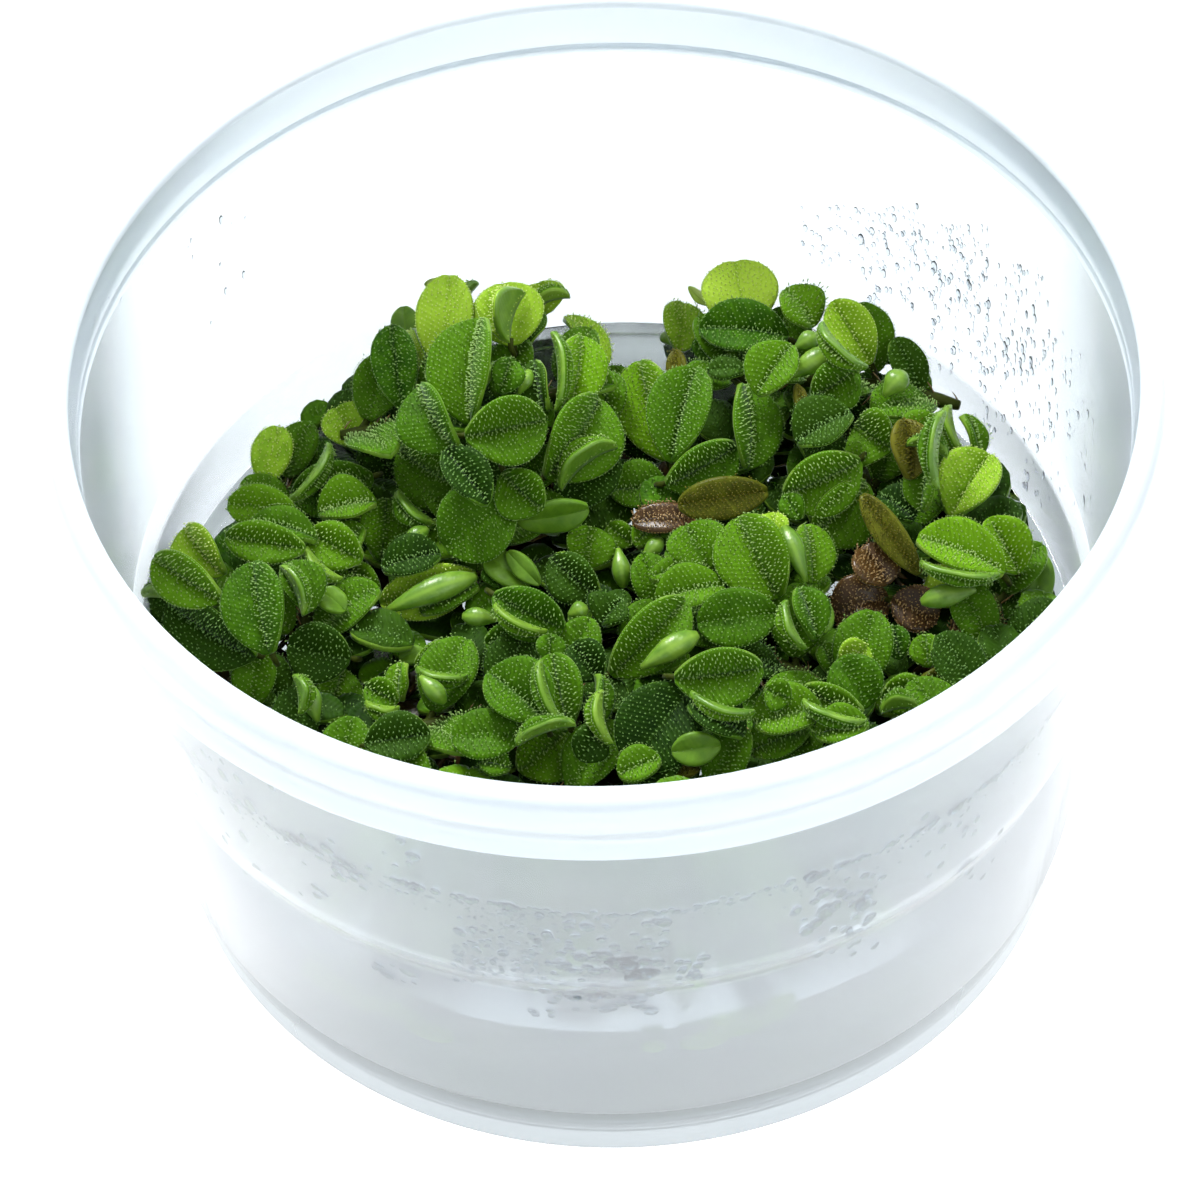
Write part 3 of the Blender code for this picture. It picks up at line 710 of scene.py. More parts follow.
def add_tube(piece, points, radii, finish, sides=6, tint=0.5):
    """Add a closed tube along some points, all in mm in the world."""
    points = np.array(points, dtype=float)
    along = np.gradient(points, axis=0)
    along /= np.linalg.norm(along, axis=1)[:, None]
    first, second = across_and_along(along)
    angles = np.arange(sides) * math.tau / sides
    ring = (np.cos(angles)[None, :, None] * first[:, None]
            + np.sin(angles)[None, :, None] * second[:, None])
    body = points[:, None] + ring * np.array(radii, dtype=float)[:, None, None]
    count = len(points)
    everything = np.concatenate([body.reshape(-1, 3), points[:1], points[-1:]])
    quads = [(i * sides + k, (i + 1) * sides + k, (i + 1) * sides + (k + 1) % sides,
              i * sides + (k + 1) % sides) for i in range(count - 1) for k in range(sides)]
    low, high = count * sides, count * sides + 1
    last = (count - 1) * sides
    quads += [(low, k, (k + 1) % sides, (k + 1) % sides) for k in range(sides)]
    quads += [(high, last + (k + 1) % sides, last + k, last + k) for k in range(sides)]
    place = np.column_stack([everything[:, 0], everything[:, 1], np.full(len(everything), tint)])
    piece.add(everything * MM, np.array(quads), np.full(len(quads), FINISHES.index(finish)), place)


def add_pod(piece, matrix, length, width, tint):
    """Add a leaf that is still rolled up: a bent tongue, widest towards its tip."""
    rings, sides = POD_RINGS, POD_SIDES
    shares = np.linspace(0, 1, rings)
    girth = np.sin(math.pi * (0.04 + 0.90 * shares ** 1.35)) ** 0.75 * width / 2
    bow = POD_BOW * length * (1 - (2 * shares - 1) ** 2)
    angles = np.arange(sides) * math.tau / sides
    ring = np.stack([np.cos(angles), np.zeros(sides), np.sin(angles) * POD_FLAT], axis=1)
    spine = np.stack([np.zeros(rings), shares * length, bow], axis=1)
    body = (spine[:, None] + ring[None] * girth[:, None, None]).reshape(-1, 3)
    everything = np.concatenate([body, spine[:1], spine[-1:]])
    quads = [(i * sides + k, i * sides + (k + 1) % sides, (i + 1) * sides + (k + 1) % sides,
              (i + 1) * sides + k) for i in range(rings - 1) for k in range(sides)]
    low, high = rings * sides, rings * sides + 1
    last = (rings - 1) * sides
    quads += [(low, (k + 1) % sides, k, k) for k in range(sides)]
    quads += [(high, last + k, last + (k + 1) % sides, last + (k + 1) % sides)
              for k in range(sides)]
    place = np.column_stack([everything[:, 0], everything[:, 1], np.full(len(everything), tint)])
    piece.add(carried(matrix, everything), np.array(quads),
              np.full(len(quads), FINISHES.index("bud")), place)


print("a rolled leaf has", POD_RINGS, "rings of", POD_SIDES, "points")

# %% [markdown]
# ## The finish of the leaves
# A leaf's upper face is matt: a water-repellent skin that soaks up light head on and turns
# blue-white at a low angle, which is what sheen does. Its underside and its rolled edge have no
# hairs, so they are smoother, brighter and slightly glossy, and old and dead leaves are wet. Light
# passes through young leaves, so they get some subsurface scattering, over about half a
# millimetre. Colour drifts over spots of 1.5 mm, and a paler line follows the midrib. The rows of
# papillae stand on low ridges, and the valleys between them are painted darker as painted shade.
# Each half is painted lighter towards its edge and darker by the midrib, as painted light and
# shade of the fold. The darkest green stands partly for older leaves and partly for painted shade
# deep in the heap.

# %% Leaf materials
SPOT = 1.5 * MM
finishes = {}


def leaf_finish(name, title, deep, bright, old, matt, velvet, glow, valley_shade=0.35, gloss=0.08):
    """A green of two shades that drifts towards a third with the leaf's tint. valley is the share
    of the bright shade that is left between two rows, as painted shade."""
    made, tree, shader = new_material(
        title, Roughness=matt, Sheen_Weight=velvet, Sheen_Roughness=0.35,
        Sheen_Tint=linear("#c9dccb"), Subsurface_Weight=glow, Subsurface_Scale=0.4 * MM,
        Subsurface_Radius=(0.8, 1.0, 0.3), Specular_IOR_Level=gloss)
    stored = add_node(tree, "ShaderNodeAttribute", attribute_name="leaf_place")
    number = add_node(tree, "ShaderNodeSeparateXYZ", {"Vector": stored.outputs["Vector"]})
    place = add_node(tree, "ShaderNodeTexCoord")
    drift = add_node(tree, "ShaderNodeTexNoise", {
        "Vector": place.outputs["Object"], "Scale": 1 / SPOT, "Detail": 4.0})
    spread = add_node(tree, "ShaderNodeMapRange", {
        "Value": drift.outputs["Fac"], "From Min": 0.32, "From Max": 0.68})
    width = add_node(tree, "ShaderNodeMath", {0: number.outputs["X"]}, operation="ABSOLUTE")
    # Painted light and shade of the fold: each half gets more of the bright shade towards its edge,
    # less by the midrib.
    edge = add_node(tree, "ShaderNodeMapRange", {
        "Value": width.outputs[0], "From Min": 0.4, "From Max": 4.0, "To Min": 0.0,
        "To Max": 0.7})
    share = add_node(tree, "ShaderNodeMath", {
        0: spread.outputs["Result"], 1: edge.outputs["Result"]}, operation="MAXIMUM")
    start = add_node(tree, "ShaderNodeMath", {
        0: width.outputs[0], 1: -ROW_LEAN, 2: number.outputs["Y"]}, operation="MULTIPLY_ADD")
    turns = add_node(tree, "ShaderNodeMath", {
        0: start.outputs[0], 1: math.tau / PAPILLA_GAP}, operation="MULTIPLY")
    ridge = add_node(tree, "ShaderNodeMath", {0: turns.outputs[0]}, operation="COSINE")
    # Painted shade: between the rows the colour gets less of the bright shade. The same crest lifts
    # the ridges as bump.
    crest_and_valley_shade = add_node(tree, "ShaderNodeMapRange", {
        "Value": ridge.outputs[0], "From Min": -1.0, "From Max": 1.0, "To Min": valley_shade,
        "To Max": 1.0})
    lit = add_node(tree, "ShaderNodeMath", {
        0: share.outputs[0], 1: crest_and_valley_shade.outputs["Result"]}, operation="MULTIPLY")
    green = add_node(tree, "ShaderNodeMix", {
        "Factor": lit.outputs[0], "A": linear(deep), "B": linear(bright)}, data_type="RGBA")
    age_and_painted_light = add_node(tree, "ShaderNodeMix", {
        "Factor": number.outputs["Z"], "A": green.outputs["Result"], "B": linear(old)},
        data_type="RGBA")
    rib = add_node(tree, "ShaderNodeMapRange", {
        "Value": width.outputs[0], "From Min": 0.08, "From Max": 0.30, "To Min": 0.55,
        "To Max": 0.0})
    ribbed = add_node(tree, "ShaderNodeMix", {
        "Factor": rib.outputs["Result"], "A": age_and_painted_light.outputs["Result"], "B": linear(bright)},
        data_type="RGBA")
    tree.links.new(ribbed.outputs["Result"], shader.inputs["Base Color"])
    relief = add_node(tree, "ShaderNodeBump", {
        "Height": crest_and_valley_shade.outputs["Result"], "Strength": 0.6, "Distance": 0.10 * MM})
    tree.links.new(relief.outputs["Normal"], shader.inputs["Normal"])
    finishes[name] = made


leaf_finish("mid", "salvinia_leaf_green", "#1c4200", "#406e02", "#62900c", 0.60, 0.3, 0.0, 0.6)
leaf_finish("light", "salvinia_leaf_young", "#648e10", "#8eb62c", "#a4c63c",
            0.55, 0.2, 0.10, 0.8)
# The deep green of dark leaves stands partly for older leaves and partly for painted shade.
leaf_finish("dark", "salvinia_leaf_deep", "#0e2a00", "#244400", "#365802", 0.62, 0.25, 0.0, 0.55)
leaf_finish("olive", "salvinia_leaf_old", "#343e0a", "#56600f", "#6c6620", 0.36, 0.1, 0.0, 0.95)
leaf_finish("brown", "salvinia_leaf_dead", "#20140a", "#4a3216", "#64481e",
            0.30, 0.1, 0.0, 0.95, 0.3)
leaf_finish("under", "salvinia_leaf_underside", "#3c640c", "#5a841a", "#86a63a",
            0.38, 0.1, 0.0, 0.9, 0.22)
leaf_finish("bud", "salvinia_leaf_rolled", "#4f7a12", "#7ea234", "#466e16",
            0.34, 0.1, 0.08, 0.9, 0.45)
leaf_finish("stem", "salvinia_rhizome", "#1e3606", "#34500e", "#3a3010", 0.55, 0.05, 0.0, 0.9)
leaf_finish("root", "salvinia_root_hair", "#1e1408", "#46341a", "#a88a5a",
            0.22, 0.10, 0.0, 0.95, 0.8)
print(len(finishes), "finishes for leaves, stems and roots")

# %% [markdown]
# ## The finish of the papillae
# A papilla is colourless cuticle with air around it, so it scatters palely: that is the pale rim of
# its top. Its foot and its peak take a darker green, painted green light and shade from the leaf
# below, which is more yellow on a young leaf.

# %% The papillae's material
made, tree, shader = new_material("salvinia_papilla", Roughness=0.5, Specular_IOR_Level=0.15)
stored = add_node(tree, "ShaderNodeAttribute", attribute_name="leaf_place")
number = add_node(tree, "ShaderNodeSeparateXYZ", {"Vector": stored.outputs["Vector"]})
tip = add_node(tree, "ShaderNodeMix", {
    "Factor": number.outputs["Z"], "A": linear("#6f9a56"), "B": linear("#d6e690")},
    data_type="RGBA")
# Painted green light and shade from the leaf below, for the foot and the peak.
foot = add_node(tree, "ShaderNodeMix", {
    "Factor": number.outputs["Z"], "A": linear("#3e6a26"), "B": linear("#a8c650")},
    data_type="RGBA")
pale = add_node(tree, "ShaderNodeMix", {
    "Factor": number.outputs["X"], "A": foot.outputs["Result"], "B": tip.outputs["Result"]},
    data_type="RGBA")
tree.links.new(pale.outputs["Result"], shader.inputs["Base Color"])
finishes["papilla"] = made
print("finishes:", ", ".join(finishes))

# %% [markdown]
# ## The large leaves
# Each large leaf has its base and its tip in pixels, its width in mm, and how its face turns away
# from the usual direction, which is 12 degrees further up than the eye. Its place along the line
# of sight is that of its solid, so a leaf is bent, laid in its plane, and slid until the two agree.

# %% The heap's surface and the rows of large leaves
USUAL_LEAN = 12.0
HEAP_LEVEL = 27.0  # mm above the table, where no mound is
Mound = namedtuple("Mound", "u v radius height")
MOUNDS = (
    Mound(490, 360, 110, 11), Mound(790, 350, 120, 10), Mound(930, 470, 90, 6),
    Mound(240, 560, 110, 5), Mound(740, 600, 110, 4), Mound(520, 700, 90, 3.5),
    Mound(790, 720, 100, 3), Mound(620, 555, 60, -4), Mound(430, 660, 60, -4),
    Mound(880, 620, 60, -4), Mound(650, 320, 40, -8),
)
Row = namedtuple("Row", "u0 v0 u1 v1 width turn lean fold kind")
LARGE = [Row(*row) for row in (
    (443, 368, 450, 277, 5.8, -5, 0, 10, "light"),
    (514, 346, 503, 285, 7.2, 0, 0, 8, "light"),
    (404, 408, 393, 327, 4.6, -15, 0, 15, "mid"),
    (570, 412, 582, 338, 5.4, 10, 0, 18, "light"),
    (508, 343, 524, 292, 3.6, 0, 0, 0, "pod"),
    (466, 425, 478, 320, 7.4, -8, 0, 16, "mid"),
    (550, 482, 602, 402, 7.4, 8, 0, 14, "mid"),
    (455, 455, 418, 390, 5.8, -12, 0, 22, "mid"),
    (466, 442, 546, 425, 6.4, 5, 5, 18, "mid"),
    (515, 518, 588, 507, 3.8, 0, -45, 8, "olive"),
    (512, 500, 446, 548, 8.0, -5, -5, 10, "mid"),
    (478, 498, 398, 452, 6.0, -10, -10, 15, "mid"),
    (500, 476, 540, 513, 5.0, 5, 0, 22, "mid"),
    (745, 330, 735, 263, 7.8, 0, 5, 8, "light"),
    (788, 338, 699, 330, 5.8, 0, 5, 15, "mid"),
    (664, 462, 638, 362, 6.2, -4, 0, 20, "light"),
    (666, 462, 692, 368, 6.2, 10, 0, 22, "mid"),
    (745, 385, 750, 470, 5.6, 12, 0, 12, "mid"),
    (668, 492, 610, 490, 5.4, 0, 0, 12, "mid"),
    (668, 488, 738, 448, 5.2, 0, -10, 18, "mid"),
    (868, 366, 830, 303, 4.8, 12, 0, 22, "light"),
    (786, 378, 838, 350, 2.6, 0, 0, 0, "pod"),
    (858, 372, 813, 402, 5.0, 0, 0, 22, "mid"),
    (892, 452, 856, 428, 6.2, -15, 0, 15, "mid"),
    (946, 515, 985, 453, 5.8, 12, 0, 26, "light"),
    (868, 485, 812, 540, 6.4, 8, -10, 18, "mid"),
    (862, 465, 785, 500, 6.2, 0, -5, 20, "mid"),
    (1015, 575, 985, 520, 5.2, 22, 0, 18, "light"),
    (1005, 572, 918, 538, 5.6, 0, 5, 15, "light"),
    (888, 598, 832, 616, 6.2, 0, 0, 10, "brown"),
    (892, 600, 938, 620, 4.8, 0, 0, 8, "brown"),
    (776, 600, 735, 520, 7.2, 0, 0, 15, "mid"),
    (778, 614, 697, 624, 5.8, 0, -5, 8, "mid"),
    (614, 678, 688, 602, 5.4, -5, 0, 20, "mid"),
    (690, 690, 630, 766, 8.2, 0, 0, 10, "dark"),
    (675, 683, 763, 672, 5.4, 0, 0, 22, "mid"),
    (478, 578, 380, 606, 5.2, 0, 0, 18, "light"),
    (492, 598, 562, 632, 5.0, 5, 0, 18, "mid"),
    (566, 728, 550, 655, 5.2, 5, 0, 18, "mid"),
    (548, 722, 490, 672, 6.8, 0, 0, 14, "mid"),
    (374, 480, 292, 500, 5.6, 0, 0, 16, "mid"),
    (255, 660, 168, 605, 6.4, -10, -10, 18, "dark"),
    (222, 604, 155, 560, 4.8, -10, 0, 20, "mid"),
    (268, 655, 252, 564, 6.4, -5, 0, 12, "mid"),
    (350, 660, 288, 645, 5.8, 0, -5, 10, "dark"),
    (365, 745, 430, 735, 5.0, 0, 0, 12, "dark"),
)]


print(len(LARGE), "rows of large leaves")

# %% [markdown]
# ## From a row to a leaf
# A row's pixels and angles fix the plane that the leaf lies in, at the height of the heap there.
# Its fold is how far both halves are closed. A leaf that is rolled about its midrib keeps the
# outline that the eye sees, so it gets wider the further it is turned.

# %% Where a leaf lies and how it is bent
CUPPED = 10  # degrees of fold, above which a leaf is cup-like
SPARE_WIDTH = 1.06  # to make up for what the edge's roll takes away
SHUT_FOLD = 66.0  # degrees
SHUT_SWELL = 12.0  # degrees
SHUT_TURN = 48  # degrees about the midrib
SHUT_WIDTH = 2.3  # for each mm that shows
ASIDE = 0.6  # how much of its shift a rolled leaf is given back


def heap_height(u, v):
    """The height of the heap's surface at a pixel."""
    total = HEAP_LEVEL
    for mound in MOUNDS:
        distance = math.hypot(u - mound.u, v - mound.v) / mound.radius
        total += mound.height * math.exp(-distance * distance)
    return total * MM


def frame_of(base, along, normal):
    """A matrix with X across a leaf, Y along it and Z off its face."""
    across = along.cross(normal).normalized()
    normal = across.cross(along)
    made = Matrix((across, along, normal)).transposed().to_4x4()
    made.translation = base
    return made


def leaf_matrix(leaf):
    """Where a row lays its leaf, and the leaf's length in mm."""
    lean = math.radians(USUAL_LEAN + leaf.lean)
    turn = math.radians(leaf.turn)
    normal = BACK * math.cos(lean) * math.cos(turn) + RIGHT * math.sin(turn)
    normal += UP * math.sin(lean) * math.cos(turn)
    middle = ((leaf.u0 + leaf.u1) / 2, (leaf.v0 + leaf.v1) / 2)
    centre = at_height(*middle, heap_height(*middle))
    base = on_plane(leaf.u0, leaf.v0, centre, normal)
    tip = on_plane(leaf.u1, leaf.v1, centre, normal)
    return frame_of(base, (tip - base).normalized(), normal), (tip - base).length / MM


def leaf_form(leaf, length, number):
    """The bend of a leaf: folded by what its row says and more, with its own swell and wave."""
    own = np.random.default_rng(number)
    cupped = leaf.fold > CUPPED
    fold = leaf.fold * 0.7 + (20 if cupped else 6)
    swell = own.uniform(14, 24) if cupped else own.uniform(8, 14)
    width = leaf.width * SPARE_WIDTH / math.cos(math.radians(fold))
    return Form(length, width, fold, swell, own.uniform(0.06, 0.12) * length,
                own.uniform(0.05, 0.25), own.uniform(0, 6.28))


def nearly_closed(form, matrix, seen, hand):
    """The form and the place of a leaf that is nearly shut: one half stands up and shows a strip
    of its smooth underside, seen mm wide, on the hand's side, and beside it the other's hairs."""
    shut = form._replace(width=seen * SHUT_WIDTH, fold=SHUT_FOLD, swell=SHUT_SWELL)
    return shut, matrix @ Matrix.Rotation(math.radians(-SHUT_TURN * hand), 4, "Y")


def rolled(form, matrix, roll):
    """The form and the place of a leaf that is turned about its midrib by some degrees."""
    fold, turn = math.radians(form.fold), math.radians(roll)
    width = form.width / math.cos(turn)
    aside = width / 4 * (math.cos(fold - turn) - math.cos(fold + turn)) * ASIDE * MM
    matrix = matrix @ Matrix.Translation((aside, 0, 0)) @ Matrix.Rotation(-turn, 4, "Y")
    return form._replace(width=width), matrix


def middle_of(points):
    """The middle of the box about some points."""
    return (points.max(axis=0) + points.min(axis=0)) / 2


print("the heap is", round(heap_height(490, 360) / MM, 1), "mm high at its back left mound")

# %% [markdown]
# ## The inside of the cup
# Leaves and drops have to know where the wall is. Its radius at each height comes from the cup's
# own profile. A drop that the picture shows is put where its line of sight meets the wall: first
# the near side, through the plastic, and then the far one.

# %% Where the wall is
WALL_HEIGHTS = (8.5, 29.0, 31.5, 62.9)  # mm
WALL_RADII = (45.5, 46.35, 47.2, 50.0)  # mm
OFF_WALL = 0.4  # mm that leaves keep off it


def wall_radius(height):
    """The cup's inner radius at a height, both in mm."""
    return np.interp(height, WALL_HEIGHTS, WALL_RADII)


def inside_cup(points):
    """Points in metres, pressed against the wall where they would go through it."""
    radius = np.hypot(points[:, 0], points[:, 1])
    limit = (wall_radius(points[:, 2] / MM) - OFF_WALL) * MM
    scale = np.minimum(1.0, limit / np.maximum(radius, 1e-6))
    return points * np.column_stack([scale, scale, np.ones(len(points))])


def wall_point(u, v, front):
    """Where the line of sight through a pixel meets the cup's inner wall, in mm, near or far."""
    ray = np.array(sight(u, v))
    start = np.array(EYE)
    was_inside = None
    for share in np.linspace(0.6, 1.6, 1600):
        point = (start + ray * share * EYE_DISTANCE) / MM
        is_inside = math.hypot(point[0], point[1]) < wall_radius(point[2])
        if was_inside is not None and is_inside != was_inside and is_inside == front:
            return point
        was_inside = is_inside
    return None


print("the wall's inner radius at the water is", round(wall_radius(WATER_LEVEL / MM), 2), "mm")

# %% [markdown]
# ## Keeping clear of each other
# Leaves may lie on each other but not in each other. What has been placed is kept as coarse
# search trees in mm. A small leaf is slid along its line of sight, one step at a time, until its
# own coarse form meets none of its neighbours, so it stays where the picture has it.

# %% The crowd of placed leaves
STEP_MM = 0.4
NEAR_MM = 13.0  # leaves whose middles are further apart never touch
COARSE_SIZE = 0.94  # a coarse form is this much narrower than its leaf


class Crowd:
    """Coarse forms of what has been placed, each with its middle, in mm."""

    def __init__(self):
        self.middles = []
        self.trees = []

    def tree_of(self, points, faces):
        """A form as a search tree."""
        return BVHTree.FromPolygons(points.tolist(), faces.tolist())

    def add(self, points, faces):
        """Remember a form that has been placed."""
        self.middles.append(middle_of(points))
        self.trees.append(self.tree_of(points, faces))

    def touches(self, points, faces):
        """Whether a form meets any that has been placed."""
        far = np.linalg.norm(np.array(self.middles) - middle_of(points), axis=1)
        near = np.flatnonzero(far < NEAR_MM)
        if not len(near):
            return False
        own = self.tree_of(points, faces)
        return any(self.trees[i].overlap(own) for i in near)

    def slide(self, points, faces, way, most):
        """How far to slide a form along a direction until it is clear, or None if it never is."""
        for i in range(most):
            if not self.touches(points + way * (STEP_MM * i), faces):
                return STEP_MM * i
        return None


crowd = Crowd()


def coarse_leaf(matrix, form, thickness=0.5):
    """The coarse form of a leaf, in mm in the world."""
    points, _ = bend_leaf(form, coarse_blank.points * (COARSE_SIZE, 1, thickness))
    return carried(matrix, points) / MM


print("a coarse leaf has", len(coarse_blank.quads), "faces")

# %% [markdown]
# ## Laying the large leaves
# Most leaves show one half full face and the other at a low angle, where the papillae close up.
# ROLLS times ROLL_SCALE is by how many degrees a leaf is turned about its midrib. More than nought
# turns away the half on the right of someone who walks from its base to its tip. The half that
# faces the eye then shows wider, so the leaf is moved the other way to stay in its outline.

# %% Bend the large leaves into place
ROLL_SCALE = 1.9
ROLLED_OPEN = 5  # a leaf that is shut, but no longer rolled up
# Leaves with another finish and tint than the others of their kind. The full tint of leaf 14
# is painted light, to lift it where it turns into shade.
GREENER = {4: ("mid", 1.0), 10: ("under", 0.1), 14: ("light", 1.0), 16: ("mid", 1.0),
           28: ("mid", 1.0), 29: ("mid", 1.0)}
ROLLS = {3: -6, 4: -6, 6: 16, 7: -14, 8: 16, 9: -14, 12: 14, 13: -14, 16: 8, 17: 12, 18: 12, 19: -8,
         20: -12, 21: 10, 23: 12, 24: 10, 25: 12, 26: 12, 27: 12, 28: 10, 29: -8, 32: 10, 34: -12,
         36: -12, 37: 10, 38: -10, 39: 10, 40: -8, 41: 10, 42: 10, 43: 10, 44: 8, 45: 8}
LEAF_SLOTS = {"mid": "leaf_green", "light": "leaf_young", "dark": "leaf_dark",
              "pod": "leaf_bud", "olive": "leaf_old", "brown": "leaf_dead"}
TINT_SEED = 50
STALK = ((0, 0.6, -0.1), (0, -0.3, -0.5), (0, -0.9, -1.3))  # mm from the leaf's base
large_pieces = []
for number, leaf in enumerate(LARGE, 1):
    node = f"leaf_{number:02d}"
    matrix, length = leaf_matrix(leaf)
    form = leaf_form(leaf, length, number)
    form, matrix = rolled(form, matrix, ROLLS.get(number, 0) * ROLL_SCALE)
    towards = (EYE - matrix.translation).normalized()
    solid = np.array([vertex.co for vertex in bpy.data.objects[node].data.vertices])
    here = coarse_leaf(matrix, form) * MM
    slide = Vector(middle_of(solid) - middle_of(here)).dot(towards)
    matrix = Matrix.Translation(towards * slide) @ matrix
    piece = Piece("large_" + node)
    if number == ROLLED_OPEN:
        form, matrix = nearly_closed(form, matrix, leaf.width, 1)
        add_leaf(piece, matrix, form, "light", 0.3, number, fine_blank)
    elif number in GREENER:
        add_leaf(piece, matrix, form, *GREENER[number], number, fine_blank)
    elif leaf.kind == "pod":
        add_pod(piece, matrix, length, leaf.width, 0.2)
    else:
        tint = np.random.default_rng(number + TINT_SEED).uniform(0.0, 0.5)
        add_leaf(piece, matrix, form, leaf.kind, tint, number, fine_blank)
    crowd.add(coarse_leaf(matrix, form), coarse_blank.quads)
    stalk = [matrix @ Vector([size * MM for size in point]) for point in STALK]
    add_tube(piece, [point / MM for point in stalk], (0.35, 0.33, 0.3), "stem")
    large_pieces.append(piece)
    made, materials = piece.join()
    dress(made, LEAF_SLOTS[leaf.kind], materials, node)

# %% [markdown]
# ## The small leaves
# Between the large leaves the heap is full of smaller ones: half hidden faces, bright rolled
# edges and leaves still rolled up. They have rows of the same kind. A strip is a leaf that is
# nearly shut and shows the smooth underside of one half, a pod is a leaf that is still rolled up,
# and a wisp is a thin pale shred.

